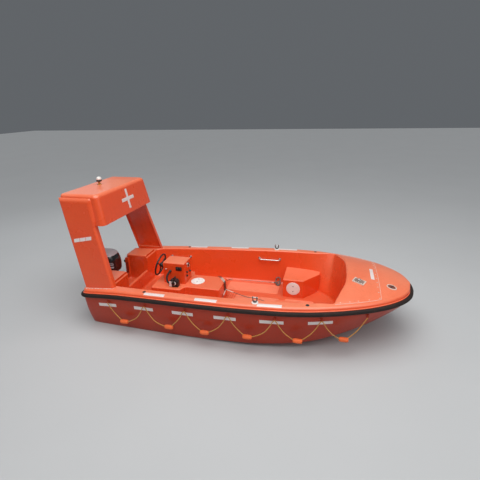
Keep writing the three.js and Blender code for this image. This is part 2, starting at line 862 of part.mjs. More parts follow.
function buildLiftingEyes() {
  const x = at(LIFT_STATION);
  for (const [sideName, side] of [
    ["port", 1],
    ["starboard", -1],
  ]) {
    const base = v(x, side * LIFT_Y, sheerAt(x));
    const pad = [
      [0, -20],
      [42, -20],
      [42, 8],
      [38, 12],
      [0, 12],
    ];
    const tilt = v(-0.03, side * 0.045, 1);
    add(`lift_pad_${sideName}`, seated(turnedPiece(pad, base, tilt, 24)), WHITE_PLASTIC);
    const top = base.clone().addScaledVector(tilt, 12 + GAP);
    const plate = [
      [0, 0],
      [37, 0],
      [37, 4],
      [0, 4],
    ];
    const bow = staple(top, LIFT_BOW, v(1, 0, 0));
    add(`lift_eye_${sideName}`, bow.add(turnedPiece(plate, top, tilt, 16)), STAINLESS);
  }
}

// Mooring fitting and the oval deck fitting

const MOORING = { station: 3790, y: -270, half: 75, wide: 50, thick: 7 };
const MOORING_BOW = { half: 24, straight: 14, radius: 7 };
const FITTING = { station: 4190, y: -262, radius: 62, tall: 9 };

function buildDeckFittings() {
  const { y, half, wide, thick } = MOORING;
  const x = at(MOORING.station);
  const z = deckHeight(x, y) + PANEL.thick + GAP;
  const under = PANEL.thick + 2 * GAP;
  const block = box(x - half, x + half, y - wide, y + wide, z - 60, z + 60);
  const plate = block.intersect(deckBody(under + thick)).subtract(deckBody(under));
  const bow = staple(v(x, y, z), MOORING_BOW, v(0, 1, 0)).subtract(deckBody(under + 1));
  add("mooring_cleat", plate.add(bow), STAINLESS);

  const fx = at(FITTING.station);
  const fitting = [
    [0, -40],
    [FITTING.radius, -40],
    [FITTING.radius, 40],
    [0, 40],
  ];
  const post = turnedPiece(fitting, v(fx, FITTING.y, deckHeight(fx, FITTING.y)), v(0, 0, 1), 24);
  add("deck_fitting", seated(post.intersect(deckBody(GAP + FITTING.tall))), STAINLESS);
}

// Grab lines with their floats, hung in bights from eye to eye

const BIGHT_SAG = 275;
const BIGHT_POWER = 1.7;
const FLOAT_RADIUS = 30;
const FLOAT_LENGTH = 115;

// Where each bight's float sits, as a share of the way from its aft eye to its forward one
const FLOAT_SHARES = [0.42, 0.6, 0.46, 0.42, 0.5, 0.5];

function grabLinePoints(side) {
  const hang = (station) => {
    const eye = eyePlace(station, side);
    return v(eye.x, eye.y + side * EYE_REACH, eye.z - 18);
  };
  const points = [hang(EYE_STATIONS[0])];
  for (let i = 0; i + 1 < EYE_STATIONS.length; i++) {
    const [from, to] = [hang(EYE_STATIONS[i]), hang(EYE_STATIONS[i + 1])];
    for (const t of [0.12, 0.27, FLOAT_SHARES[i], 0.75, 0.88]) {
      const drop = BIGHT_SAG * (1 - Math.pow(Math.abs(2 * t - 1), BIGHT_POWER));
      points.push(from.clone().lerp(to, t).add(v(0, 0, -drop)));
    }
    points.push(to);
  }
  return points;
}

function buildGrabLines() {
  for (const [name, side] of [
    ["grab_line_port", 1],
    ["grab_line_starboard", -1],
  ]) {
    const points = grabLinePoints(side);
    const curve = spline(points);
    const floats = [];
    for (let i = 3; i < points.length; i += 6) {
      const before = points[i].clone().add(v(-FLOAT_LENGTH / 2, 0, 0));
      const after = points[i].clone().add(v(FLOAT_LENGTH / 2, 0, 0));
      floats.push(rod(before, after, FLOAT_RADIUS, 12));
    }
    add(name, joined(tube(curve, LINE_RADIUS, 78, 8), ...floats), ROPE);
  }
}

// Lifting bridle: four wire legs from a link that hangs before the seat box. The port forward leg ends
// in the lifting rings, and the others in shackles on the floor.

const WIRE_RADIUS = 4.5;
const WIRE_STEPS = 44;
const SLEEVE_RADIUS = 8;
const WIRE_END = 40;
const SHACKLE = { half: 20, straight: 42, radius: 7 };
const LINK = { centre: [1868.8, 62, 374], long: [0, -0.2, 0.98], reach: 80, half: 30, radius: 8 };
const RINGS = { centre: [2588, 711, 205], long: [0, 0.687, 0.727], reach: 62, half: 34, radius: 8 };

// Each leg's route from its sleeve on the link to its sleeve on the fitting. Columns: station, y and z.
const WIRES = {
  port_aft: [
    [1776, 146, 449.5],
    [1745, 186, 449.5],
    [1722, 214, 444],
    [1700, 242, 418],
    [1672, 270, 371],
    [1640, 300, 305],
    [1602, 330, 235],
    [1560, 357, 184],
    [1510, 380, 160],
    [1440, 405, 155.2],
    [1300, 440, 155.2],
    [1150, 470, 155.2],
    [1000, 495, 155.2],
    [850, 520, 156],
    [800, 528, 158.5],
  ],
  port_forward: [
    [1788, 166, 449.5],
    [1770, 192, 449.5],
    [1754, 217, 445],
    [1739, 242, 420],
    [1727, 270, 379],
    [1718, 302, 320],
    [1712, 340, 255],
    [1708, 382, 200],
    [1706, 432, 165],
    [1704, 490, 155.5],
    [1706, 560, 155.2],
    [1716, 630, 155.2],
    [1745, 690, 155.2],
    [1810, 718, 155.2],
    [1950, 723, 155.2],
    [2150, 727, 155.2],
    [2330, 730, 155.2],
    [2440, 732, 156.5],
    [2480, 732, 158.5],
  ],
  starboard_forward: [
    [1983, 118, 243],
    [2050, 140, 211],
    [2110, 154, 184],
    [2180, 162, 163],
    [2240, 160, 155.8],
    [2310, 155, 155.2],
    [2380, 140, 155.2],
    [2460, 105, 155.2],
    [2540, 50, 155.2],
    [2605, -30, 155.2],
    [2635, -130, 155.2],
    [2635, -230, 155.2],
    [2620, -320, 156],
    [2608, -370, 158.5],
  ],
  starboard_aft: [
    [1876, -60, 280],
    [1879, -120, 272],
    [1876, -185, 262],
    [1862, -250, 245],
    [1835, -312, 215],
    [1792, -370, 182],
    [1735, -418, 162],
    [1660, -455, 155.5],
    [1560, -482, 155.2],
    [1400, -510, 155.2],
    [1200, -535, 155.2],
    [1000, -548, 155.2],
    [860, -553, 156],
    [800, -555, 158.5],
  ],
};

// Where each leg's sleeve starts on the link. Columns: station, y and z.
const LINK_SLEEVES = {
  port_aft: [1868, 28, 450],
  port_forward: [1868, 64, 450],
  starboard_forward: [1870, 84, 298],
  starboard_aft: [1871, 66, 292],
};

const placeOf = ([station, y, z]) => v(at(station), y, z);

// An oblong ring of round bar, in the plane of its long direction and a wide one
function oblongRing({ centre, long, reach, half, radius }, wide) {
  const middle = placeOf(centre);
  const upward = v(...long).normalize();
  const place = (a, b) => middle.clone().addScaledVector(upward, a).addScaledVector(wide, b);
  const points = [];
  for (const side of [1, -1]) {
    for (let i = 0; i <= 7; i++) {
      const angle = (Math.PI * i) / 7;
      points.push(place(side * (reach - half + half * Math.sin(angle)), -side * half * Math.cos(angle)));
    }
  }
  return hoop(points, upward.clone().cross(wide).normalize(), radius);
}

// The last stretch of a route: the point at its end, and the direction out of it.
function routeEnd(route) {
  const [before, tip] = route.slice(-2).map(placeOf);
  return { tip, onward: tip.clone().sub(before).setZ(0).normalize() };
}

// A sleeve past the end of a leg.
function endSleeve({ tip, onward }) {
  const from = tip.clone().addScaledVector(onward, GAP);
  return rod(from, from.clone().addScaledVector(onward, WIRE_END), SLEEVE_RADIUS, 8);
}

// A shackle that lies flat on the floor at the end of a leg: a bow with its pin.
function floorShackle(end) {
  const { half, straight, radius } = SHACKLE;
  const across = v(-end.onward.y, end.onward.x, 0);
  const crown = end.tip.clone().addScaledVector(end.onward, WIRE_END);
  const place = (a, b) => crown.clone().addScaledVector(end.onward, a).addScaledVector(across, b);
  const points = [place(half + straight, -half)];
  for (let i = 0; i <= 8; i++) {
    const angle = (Math.PI * i) / 8;
    points.push(place(half - half * Math.sin(angle), -half * Math.cos(angle)));
  }
  points.push(place(half + straight, half));
  const bow = tube(spline(points), radius, 11);
  const open = half + straight - 6;
  const pin = rod(place(open, -half - 14), place(open, half + 14), radius + 1, 8);
  return joined(bow, pin, endSleeve(end));
}

function buildBridle() {
  const sleeves = Object.entries(LINK_SLEEVES).map(([leg, start]) => {
    const [from, tip] = [placeOf(start), placeOf(WIRES[leg][0])];
    const short = tip.clone().sub(from).setLength(GAP);
    return rod(from, tip.clone().sub(short), SLEEVE_RADIUS, 8);
  });
  add("bridle_link", joined(oblongRing(LINK, v(0, 0.98, 0.2)), ...sleeves), STAINLESS);
  for (const [leg, route] of Object.entries(WIRES)) {
    const wire = tube(spline(route.map(placeOf)), WIRE_RADIUS, WIRE_STEPS);
    add(`bridle_wire_${leg}`, wire, STAINLESS);
    if (leg !== "port_forward") add(`bridle_shackle_${leg}`, floorShackle(routeEnd(route)), STAINLESS);
  }
  const end = routeEnd(WIRES.port_forward);
  const lug = rod(end.tip.clone().add(v(WIRE_END, 0, 0)), placeOf([2578, 687, 180]), SLEEVE_RADIUS, 8);
  const small = { ...RINGS, centre: [2600, 676, 176], long: [0.1, 0.93, 0.35], reach: 40, half: 24 };
  const rings = joined(
    oblongRing(RINGS, v(1, 0, 0)),
    oblongRing(small, v(1, 0, 0)),
    endSleeve(end),
    lug,
  );
  add("bridle_rings", rings, STAINLESS);
}

// Outboard motor

const TILT = v(at(10), 0, 365);
const STEER_X = at(-75);
const MOTOR = {
  yokeTop: 392,
  yokeBottom: 62,
  cowlBottom: 455,
  cowlTop: 830,
  plateZ: -207,
  shaftZ: -385,
  skegZ: -565,
};

// Clamp bracket: two side plates that hook over the transom, with a bar between them
function buildClampBracket() {
  const outer = at(TRANSOM_X);
  const inner = at(TRANSOM_X + TRANSOM_THICK);
  const hook = [
    [outer - 55, 60],
    [outer - GAP, 60],
    [outer - GAP, TRANSOM_TOP + GAP],
    [inner + GAP, TRANSOM_TOP + GAP],
    [inner + GAP, 235],
    [inner + 22, 235],
    [inner + 22, TRANSOM_TOP + 22],
    [TILT.x + 28, TILT.z + 26],
    [TILT.x - 28, TILT.z + 26],
    [outer - 70, 300],
  ];
  const plates = [1, -1].map((side) => crossPrism(hook, side > 0 ? 112 : -140, side > 0 ? 140 : -112));
  const pin = rod(v(TILT.x, -165, TILT.z), v(TILT.x, 165, TILT.z), 13, 16);
  const bar = box(outer - 22, outer - GAP, -120, 120, 70, 130);
  add("clamp_bracket", joined(...plates, pin, bar), MOTOR_BLACK);
}

// Swivel bracket: ears on the tilt pin and the steering tube behind them
function buildSwivelBracket() {
  const tube = rod(v(STEER_X, 0, MOTOR.yokeBottom), v(STEER_X, 0, MOTOR.yokeTop), 34, 20);
  const arm = [
    [STEER_X + 5, 250],
    [TILT.x - 34, TILT.z - 60],
    [TILT.x - 20, TILT.z - 28],
    [TILT.x + 24, TILT.z - 16],
    [TILT.x + 24, TILT.z + 20],
    [TILT.x - 20, TILT.z + 24],
    [STEER_X + 5, MOTOR.yokeTop],
  ];
  const body = crossPrism(arm, -111.5, 111.5);
  const middle = crossPrism(
    [
      [TILT.x - 40, 200],
      [TILT.x + 60, 200],
      [TILT.x + 60, 460],
      [TILT.x - 40, 460],
    ],
    -60,
    60,
  );
  const bore = rod(v(TILT.x, -200, TILT.z), v(TILT.x, 200, TILT.z), 13.5, 16);
  add("swivel_bracket", body.subtract(middle).add(tube).subtract(bore), MOTOR_BLACK);
}

// Midsection: yokes above and below the steering tube, leg, plate, gearcase and skeg
function buildMidsection() {
  const { yokeTop, yokeBottom, plateZ, shaftZ, skegZ, cowlBottom } = MOTOR;
  const clear = 0.5;
  const topYoke = box(STEER_X - 110, STEER_X + 40, -62, 62, yokeTop + clear, cowlBottom - 8);
  const bottomYoke = box(STEER_X - 110, STEER_X + 32, -45, 45, yokeBottom - clear - 34, yokeBottom - clear);
  const ring = (z, front, aft, half) =>
    [
      [front, 0],
      [front - 30, half],
      [aft + 60, half],
      [aft, 6],
      [aft, -6],
      [aft + 60, -half],
      [front - 30, -half],
    ].map(([x, y]) => v(x, y, z));
  const leg = loft([
    ring(shaftZ, at(-70), at(-285), 32),
    ring(plateZ, at(-85), at(-300), 34),
    ring(40, at(-125), at(-300), 58),
    ring(cowlBottom - 8, at(-122), at(-330), 78),
  ]);
  const plate = prism(
    [
      [at(-25), 20],
      [at(-25), -20],
      [at(-90), -80],
      [at(-330), -90],
      [at(-390), -45],
      [at(-390), 45],
      [at(-330), 90],
      [at(-90), 80],
    ],
    plateZ - 6,
    plateZ + 6,
  );
  const nose = [
    [0, 0],
    [20, 12],
    [38, 50],
    [45, 110],
    [45, 240],
    [38, 330],
    [0, 330],
  ];
  const gearcase = turnedPiece(nose, v(at(30), 0, shaftZ), v(-1, 0, 0), 20);
  const skeg = crossPrism(
    [
      [at(-90), shaftZ],
      [at(-190), skegZ],
      [at(-265), skegZ],
      [at(-270), shaftZ],
    ],
    -6,
    6,
  );
  add("motor_leg", joined(topYoke, bottomYoke, leg, plate, gearcase, skeg), MOTOR_BLACK);
}

// Cowl: a black pan and a rounded top
function buildCowl() {
  const { cowlBottom, cowlTop } = MOTOR;
  const ring = (z, front, aft, half) => {
    const corner = 0.42 * half;
    const plan = [
      [front, 0.45 * half],
      [front - corner, half],
      [aft + 1.6 * corner, half * 0.96],
      [aft + 0.3 * corner, half * 0.62],
      [aft, 0.25 * half],
    ];
    const points = [...plan, ...plan.map(([x, y]) => [x, -y]).reverse()];
    return points.map(([x, y]) => v(x, y, z));
  };
  add(
    "cowl_pan",
    loft([
      ring(cowlBottom - 8 + GAP, at(20), at(-350), 110),
      ring(cowlBottom + 35, at(95), at(-400), 160),
      ring(cowlBottom + 70, at(105), at(-415), 172),
    ]),
    MOTOR_BLACK,
  );
  add(
    "cowl_top",
    loft([
      ring(cowlBottom + 70 + GAP, at(112), at(-425), 180),
      ring(cowlBottom + 230, at(108), at(-430), 178),
      ring(cowlTop - 55, at(80), at(-395), 160),
      ring(cowlTop - 15, at(40), at(-330), 125),
      ring(cowlTop, at(0), at(-260), 80),
    ]),
    MOTOR_BLACK,
  );
}

// Propeller: a hub with three twisted blades
function buildPropeller() {
  const face = at(-300) - 0.5;
  const hub = [
    [0, 0],
    [40, 0],
    [42, 60],
    [36, 95],
    [18, 110],
    [0, 110],
  ];
  let propeller = turnedPiece(hub, v(face, 0, MOTOR.shaftZ), v(-1, 0, 0), 18);
  for (let blade = 0; blade < 3; blade++) {
    const centre = (2 * Math.PI * blade) / 3;
    // Columns: radius, half width along the turn, pitch angle, in millimetres and degrees
    const sections = [
      [25, 34, 62],
      [70, 52, 42],
      [110, 56, 32],
      [138, 26, 26],
    ].map(([radius, half, pitch]) => {
      const lean = THREE.MathUtils.degToRad(pitch);
      const corners = [
        [half, 3],
        [-half, 3],
        [-half, -3],
        [half, -3],
      ];
      return corners.map(([across, thick]) => {
        const along = across * Math.sin(lean) + thick * Math.cos(lean);
        const turn = (across * Math.cos(lean) - thick * Math.sin(lean)) / radius;
        const angle = centre + THREE.MathUtils.clamp(turn, -0.9, 0.9);
        const y = radius * Math.cos(angle);
        const z = radius * Math.sin(angle);
        return v(face - 55 + along * 0.8, y, MOTOR.shaftZ + z);
      });
    });
    propeller = propeller.add(loft(sections));
  }
  add("propeller", propeller, ALUMINIUM);
}

buildHullAndDeck();
buildFender();
buildForedeckPanel();
buildArch();
buildLight();
buildSeatBox();
buildConsole();
buildControlBox();
buildHose();
buildSteering();
buildLockers();
buildHatches();
buildHandrails();
buildLiftingEyes();
buildDeckFittings();
buildGrabLines();
buildBridle();
buildClampBracket();
buildSwivelBracket();
buildMidsection();
buildCowl();
buildPropeller();

export default boat;
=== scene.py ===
"""The looks of an open rescue lifeboat: its surfaces and finishes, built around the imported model.

Metres, +X to the bow, +Y to port, +Z up, with the origin on the waterline midway along the fender.
Stations are distances forward of the fender's stern end.
"""

import math

import bpy
import numpy as np
from mathutils import Matrix, Vector


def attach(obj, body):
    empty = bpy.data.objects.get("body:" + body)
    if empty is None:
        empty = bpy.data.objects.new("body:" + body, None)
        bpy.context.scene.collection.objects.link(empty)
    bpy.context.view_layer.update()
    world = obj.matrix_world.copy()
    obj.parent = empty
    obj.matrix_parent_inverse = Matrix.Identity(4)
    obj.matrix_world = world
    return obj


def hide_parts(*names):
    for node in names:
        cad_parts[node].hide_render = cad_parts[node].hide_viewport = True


bl_info = {
    "name": "Open rescue lifeboat",
    "version": (1, 0, 0),
    "blender": (4, 5, 0),
    "location": "View3D > Sidebar > Lifeboat",
    "description": "Surfaces and finishes of an open rescue lifeboat, built around its packed model",
    "category": "Add Mesh",
}

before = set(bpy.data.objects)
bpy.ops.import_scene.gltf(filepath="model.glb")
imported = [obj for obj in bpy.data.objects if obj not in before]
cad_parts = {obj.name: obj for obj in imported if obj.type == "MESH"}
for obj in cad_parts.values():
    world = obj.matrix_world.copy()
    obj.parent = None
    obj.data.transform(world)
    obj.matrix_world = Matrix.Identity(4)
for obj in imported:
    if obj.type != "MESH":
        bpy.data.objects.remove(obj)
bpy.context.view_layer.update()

FORWARD, PORT, STARBOARD, UP = (1, 0, 0), (0, 1, 0), (0, -1, 0), (0, 0, 1)
SIDES = ((1, "port"), (-1, "starboard"))
MIRROR = np.array([1, -1, 1])

# Driving sizes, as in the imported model

MIDSHIP = 2.25
STERN_SHEER = 0.59
JOINT_DROP = 0.075
JOINT_FLANGE = 0.04
FLOOR_Z = 0.15
SHELL = 0.04
GAP = 0.0003
TRANSOM_X = 0.045
TRANSOM_TOP = 0.32
TRANSOM_THICK = 0.06
NOTCH_HALF = 0.29
WELL_HALF = 0.3
WELL_FRONT = 0.4
WELL_FLOOR = 0.225
COCKPIT_AFT = 0.45
BULKHEAD_TOP = 0.395
CHEEK_TOP = 0.655
NARROW_HALF = 0.16
CHEEK_AFT, CHEEK_INNER, CHEEK_OUTER = 0.07, 0.3, 0.61
WELL_EDGE = 0.03
ABOVE_ALL = 0.9
CROWN_POWER = 2.2
TOPSIDE_BULGE = 0.04
CUT_TOP = 0.95

# Hull lines in millimetres. Columns: station, half breadth at the joint, chine half breadth, chine
# height, keel height, rise of the sheer above the stern, how far aft the keel point lies, and the
# foredeck's crown on the centreline.
HULL_LINES = np.array([
    [45, 790, 672, 10, -212, 0, 0, 0],
    [52, 818, 694, 10, -213, 1, 0, 0],
    [72, 842, 708, 10, -214, 3, 0, 0],
    [110, 856, 718, 10, -215, 6, 0, 0],
    [155, 860, 722, 10, -215, 9, 0, 0],
    [600, 880, 750, 14, -218, 40, 0, 0],
    [1200, 915, 780, 20, -220, 62, 0, 0],
    [1800, 945, 803, 32, -220, 80, 0, 0],
    [2400, 965, 812, 56, -215, 100, 0, 0],
    [2800, 958, 790, 90, -200, 112, 0, 0],
    [3150, 925, 738, 130, -165, 122, 20, 0],
    [3450, 862, 650, 178, -105, 130, 50, 110],
    [3750, 762, 528, 236, -15, 134, 90, 96],
    [4000, 642, 400, 292, 92, 134, 130, 66],
    [4200, 500, 270, 342, 210, 130, 150, 50],
    [4340, 350, 165, 388, 315, 126, 130, 25],
    [4420, 200, 85, 428, 392, 123, 95, 13],
    [4450, 60, 32, 455, 430, 122, 60, 10],
]) / 1000

# Port half of the cockpit's outline in millimetres, from the centreline aft to the centreline
# forward. Columns: station and half breadth of the rim, station and half breadth of the floor.
COCKPIT_LINES = np.array([
    [450, 0, 450, 0],
    [450, 340, 450, 310],
    [450, 640, 450, 572],
    [466, 686, 466, 618],
    [510, 706, 510, 640],
    [1000, 752, 1000, 690],
    [1800, 800, 1800, 735],
    [2500, 816, 2500, 752],
    [2950, 806, 2900, 722],
    [3300, 786, 3200, 620],
    [3420, 782, 3330, 520],
    [3475, 768, 3385, 470],
    [3503, 690, 3430, 420],
    [3560, 520, 3480, 340],
    [3612, 345, 3520, 240],
    [3628, 190, 3538, 130],
    [3632, 0, 3542, 0],
]) / 1000


def at(station):
    """The frame's x of a station."""
    return station - MIDSHIP


# Curves

def hermite(u, start, end, leave, arrive):
    """Cubic from start to end as u runs from 0 to 1, with the slope given at each end."""
    value = start * (1 + 2 * u) * (1 - u) ** 2 + end * u * u * (3 - 2 * u)
    return value + leave * u * (1 - u) ** 2 - arrive * u * u * (1 - u)


def smooth(t, knots, values):
    """Monotone cubic through the knots: each slope is the harmonic mean of the chords beside it."""
    steps = np.diff(knots)
    chords = np.diff(values) / steps
    both = chords[:-1] * chords[1:]
    total = np.where(both > 0, chords[:-1] + chords[1:], 1.0)
    slopes = np.concatenate([chords[:1], np.where(both > 0, 2 * both / total, 0.0), chords[-1:]])
    i = np.clip(np.searchsorted(knots, t) - 1, 0, len(knots) - 2)
    u = (t - knots[i]) / steps[i]
    return hermite(u, values[i], values[i + 1], steps[i] * slopes[i], steps[i] * slopes[i + 1])


def read_off(table, t):
    """Each further column of a table, as a smooth curve of the first one."""
    return [smooth(t, table[:, 0], column) for column in table[:, 1:].T]


def unit(vectors):
    """Vectors over their lengths."""
    return vectors / np.linalg.norm(vectors, axis=-1, keepdims=True)


def turns(count):
    """Angles that go once round in equal steps."""
    return np.linspace(0, 2 * np.pi, count, endpoint=False)


def lengths(points):
    """Distance along a polyline to each of its points."""
    return np.concatenate([[0.0], np.cumsum(np.linalg.norm(np.diff(points, axis=0), axis=1))])


def even(points, count):
    """Points at equal distances along a polyline."""
    s = lengths(points)
    t = np.linspace(0, s[-1], count)
    return np.stack([np.interp(t, s, points[:, k]) for k in range(points.shape[1])], -1)


def spline(points, steps):
    """Centripetal curve through the points: each knot interval is the square root of its chord."""
    p = np.asarray(points, float)
    p = np.concatenate([2 * p[:1] - p[1:2], p, 2 * p[-1:] - p[-2:-1]])
    d = np.sqrt(np.linalg.norm(np.diff(p, axis=0), axis=1))[:, None]
    a, b, c, e = p[:-3], p[1:-2], p[2:-1], p[3:]
    before, here, after = d[:-2], d[1:-1], d[2:]
    leave = ((b - a) / before - (c - a) / (before + here) + (c - b) / here) * here
    arrive = ((c - b) / here - (e - b) / (here + after) + (e - c) / after) * here
    u = (np.arange(steps) / steps)[None, :, None]
    curve = hermite(u, *(x[:, None, :] for x in (b, c, leave, arrive)))
    return np.concatenate([curve.reshape(-1, 3), p[-2:-1]])


def corner_arc(before, corner, after, radius, steps):
    """Arc in a corner: its centre is on the bisector, the radius over the half angle's sine away."""
    before, after = unit(before - corner), unit(after - corner)
    half = 0.5 * math.acos(float(np.clip(before @ after, -1, 1)))
    centre = corner + unit(before + after) * radius / math.sin(half)
    t = np.linspace(0, 1, steps + 1)[:, None]
    chord = corner + (before * (1 - t) + after * t) * radius / math.tan(half)
    return centre + radius * unit(chord - centre)


def rounded_outline(corners, radii, steps=6):
    """Closed outline whose corners are arcs of the given radii, joined by straight sides."""
    p = np.asarray(corners, float)
    ways = zip(np.roll(p, 1, axis=0), p, np.roll(p, -1, axis=0), np.broadcast_to(radii, len(p)))
    return np.concatenate([corner_arc(*way, steps) for way in ways])


def arc_path(points, radius, steps=6):
    """A polyline in space whose inner corners are replaced by arcs of one radius."""
    p = np.asarray(points, float)
    arcs = [corner_arc(*way, radius, steps) for way in zip(p[:-2], p[1:-1], p[2:])]
    return np.concatenate([p[:1], *arcs, p[-1:]])


def inset(outline, distance):
    """A closed outline moved inwards by a distance along its corner normals."""
    area = np.sum(outline[:, 0] * np.roll(outline[:, 1], -1) - outline[:, 1] * np.roll(outline[:, 0], -1))
    side = outline - np.roll(outline, 1, axis=0)
    side = side / np.maximum(np.linalg.norm(side, axis=1), 1e-9)[:, None]
    normal = np.stack([-side[:, 1], side[:, 0]], -1) * np.sign(area)
    both = normal + np.roll(normal, -1, axis=0)
    return outline + 2 * both / np.sum(both * both, axis=1)[:, None] * distance


def edge_levels(bottom, top, bottom_radius, top_radius, steps=5):
    """Inset and height of a wall's rings, with quarter circles at its lower and upper edges."""
    a = np.linspace(0, np.pi / 2, steps + 1)
    low = np.stack([bottom_radius * (1 - np.sin(a)), bottom + bottom_radius * (1 - np.cos(a))], -1)
    high = np.stack([top_radius * (1 - np.cos(a)), top - top_radius * (1 - np.sin(a))], -1)
    start = low if bottom_radius > 0 else np.array([[0, bottom]])
    end = high if top_radius > 0 else np.array([[0, top]])
    return np.concatenate([start, end])


# Shapes: (points, faces) pairs

def grid_faces(rows, columns, close_rows=False, close_columns=False):
    """Quads of a grid of points that are numbered row by row."""
    i = np.arange(rows if close_rows else rows - 1)[:, None]
    j = np.arange(columns if close_columns else columns - 1)[None, :]
    down, right = (i + 1) % rows, (j + 1) % columns
    quads = [i * columns + j, i * columns + right, down * columns + right, down * columns + j]
    return np.stack([np.broadcast_to(q, np.broadcast(i, j).shape) for q in quads], -1).reshape(-1, 4)


def outward(points, faces):
    """Turns the faces round if they enclose a negative volume, summed as corner fans."""
    volume = 0.0
    for face in faces:
        p = points[np.asarray(face)]
        volume += np.sum(p[0] * np.cross(p[1:-1], p[2:]))
    return [tuple(face[::-1]) for face in faces] if volume < 0 else faces


def loft(rings):
    """A closed body over a stack of closed rings, each end shut by one face."""
    rings = np.asarray(rings, float)
    rows, columns = rings.shape[:2]
    faces = grid_faces(rows, columns, close_columns=True).tolist()
    faces += [list(range(columns))[::-1], list(range((rows - 1) * columns, rows * columns))]
    points = rings.reshape(-1, 3)
    return points, outward(points, faces)


def ring_body(rings):
    """A closed body whose last ring joins its first, as in a torus."""
    rings = np.asarray(rings, float)
    points = rings.reshape(-1, 3)
    faces = grid_faces(*rings.shape[:2], close_rows=True, close_columns=True).tolist()
    return points, outward(points, faces)


def slab(top, bottom):
    """A closed plate between two grids of points of one size."""
    rows, columns = top.shape[:2]
    count = rows * columns
    quads = grid_faces(rows, columns)
    index = np.arange(count).reshape(rows, columns)
    edge = np.concatenate([index[0], index[1:, -1], index[-1, -2::-1], index[-2:0:-1, 0]])
    after = np.roll(edge, -1)
    sides = np.stack([edge, edge + count, after + count, after], -1)
    faces = quads.tolist() + (quads[:, ::-1] + count).tolist() + sides[:, ::-1].tolist()
    points = np.concatenate([top.reshape(-1, 3), bottom.reshape(-1, 3)])
    return points, outward(points, faces)


def flat(plan, height):
    """A plan outline at a height."""
    return np.column_stack([plan, np.full(len(plan), height)])


def upright(outline, y):
    """A side outline of (x, z) points at a distance from the centreline."""
    return np.column_stack([outline[:, 0], np.full(len(outline), y), outline[:, 1]])


def block(corners, radii, bottom, top, edge, foot=0.0, steps=6):
    """A plan outline with rounded corners, raised to a body with rounded upper and lower edges."""
    outline = rounded_outline(corners, radii, steps)
    levels = edge_levels(bottom, top, foot, edge)
    return loft([flat(inset(outline, d) if d else outline, z) for d, z in levels])


def side_plate(outline, y0, y1, radius, edge=0.003):
    """A plate across the boat over a rounded side outline of (x, z) points, with eased edges."""
    plan = rounded_outline(outline, radius, 5)
    levels = [(y0, edge), (y0 + edge, 0), (y1 - edge, 0), (y1, edge)]
    return loft([upright(inset(plan, d), y) for y, d in levels])


def rectangle(x0, x1, y0, y1):
    """Corners of a plan rectangle."""
    return [(x0, y0), (x1, y0), (x1, y1), (x0, y1)]


def toward(axis):
    """The turn from +Z to an axis, for points in rows."""
    return np.array(Vector(UP).rotation_difference(Vector(axis)).to_matrix()).T


def turned(profile, base=(0, 0, 0), axis=UP, sides=48):
    """A profile of (radius, height) turned about an axis that starts at base."""
    radius, height = np.asarray(profile, float).T[:, :, None]
    a = turns(sides)
    rings = np.stack([radius * np.cos(a), radius * np.sin(a), height + 0 * a], -1)
    return loft(rings @ toward(axis) + np.asarray(base, float))


def tube(path, radius, sides=12, reference=PORT):
    """A circle carried along a path: its plane is square to the path's direction."""
    path = np.asarray(path, float)
    direction = unit(np.gradient(path, axis=0))
    side = unit(np.cross(direction, np.asarray(reference, float)))
    up = np.cross(side, direction)
    a = turns(sides)[None, :, None]
    radius = np.broadcast_to(radius, len(path))[:, None, None]
    return loft(path[:, None] + radius * (side[:, None] * np.cos(a) + up[:, None] * np.sin(a)))


def merged(*shapes):
    """Several bodies in one shape."""
    points, faces, start = [], [], 0
    for p, f in shapes:
        points.append(p)
        faces += [tuple(int(i) + start for i in face) for face in f]
        start += len(p)
    return np.concatenate(points), faces


def copies(shape, places, axis=UP):
    """Copies of a shape that stands on the origin along +Z, set on places along an axis."""
    return merged(*((shape[0] @ toward(axis) + place, shape[1]) for place in places))


def placed(shape, matrix):
    """A shape moved by a 4 by 4 matrix."""
    m = np.array(matrix)
    return shape[0] @ m[:3, :3].T + m[:3, 3], shape[1]


def stood_up(shape, place, side=-1):
    """A plan shape stood on its lower edge at a place, with its top facing port (1) or starboard."""
    return placed(shape, Matrix.Translation(place) @ Matrix.Rotation(-side * math.pi / 2, 4, "X"))


def mirrored(shape):
    """A shape on the other side of the centreline, with its faces turned back outwards."""
    return shape[0] * MIRROR, [tuple(face[::-1]) for face in shape[1]]


def both_sides(*shapes):
    """Shapes of the port side together with their mirror images."""
    port = merged(*shapes)
    return merged(port, mirrored(port))


# Pieces

def linked(name, data):
    """A new object of the scene that holds the data."""
    made = bpy.data.objects.new(name, data)
    bpy.context.scene.collection.objects.link(made)
    return made


def mesh_object(name, shape):
    """A mesh object at the origin, with its place in its points."""
    mesh = bpy.data.meshes.new(name)
    mesh.from_pydata(shape[0].tolist(), [], [tuple(f) for f in shape[1]])
    return linked(name, mesh)


def finished(piece, finish, body="hull", stands_for=None, angle=35):
    """Gives a piece its finish, smooth shading and body, and hides the solid that it replaces."""
    material, slot = FINISHES[finish]
    piece.data.materials.clear()
    piece.data.materials.append(material)
    piece.data.shade_smooth()
    piece.data.set_sharp_from_angle(angle=math.radians(angle))
    piece.modifiers.new("even normals", "WEIGHTED_NORMAL").keep_sharp = True
    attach(piece, body)
    if stands_for:
        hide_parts(stands_for)
    return piece


def make(name, shape, finish, **facts):
    """A finished piece from a shape."""
    return finished(mesh_object(name, shape), finish, **facts)


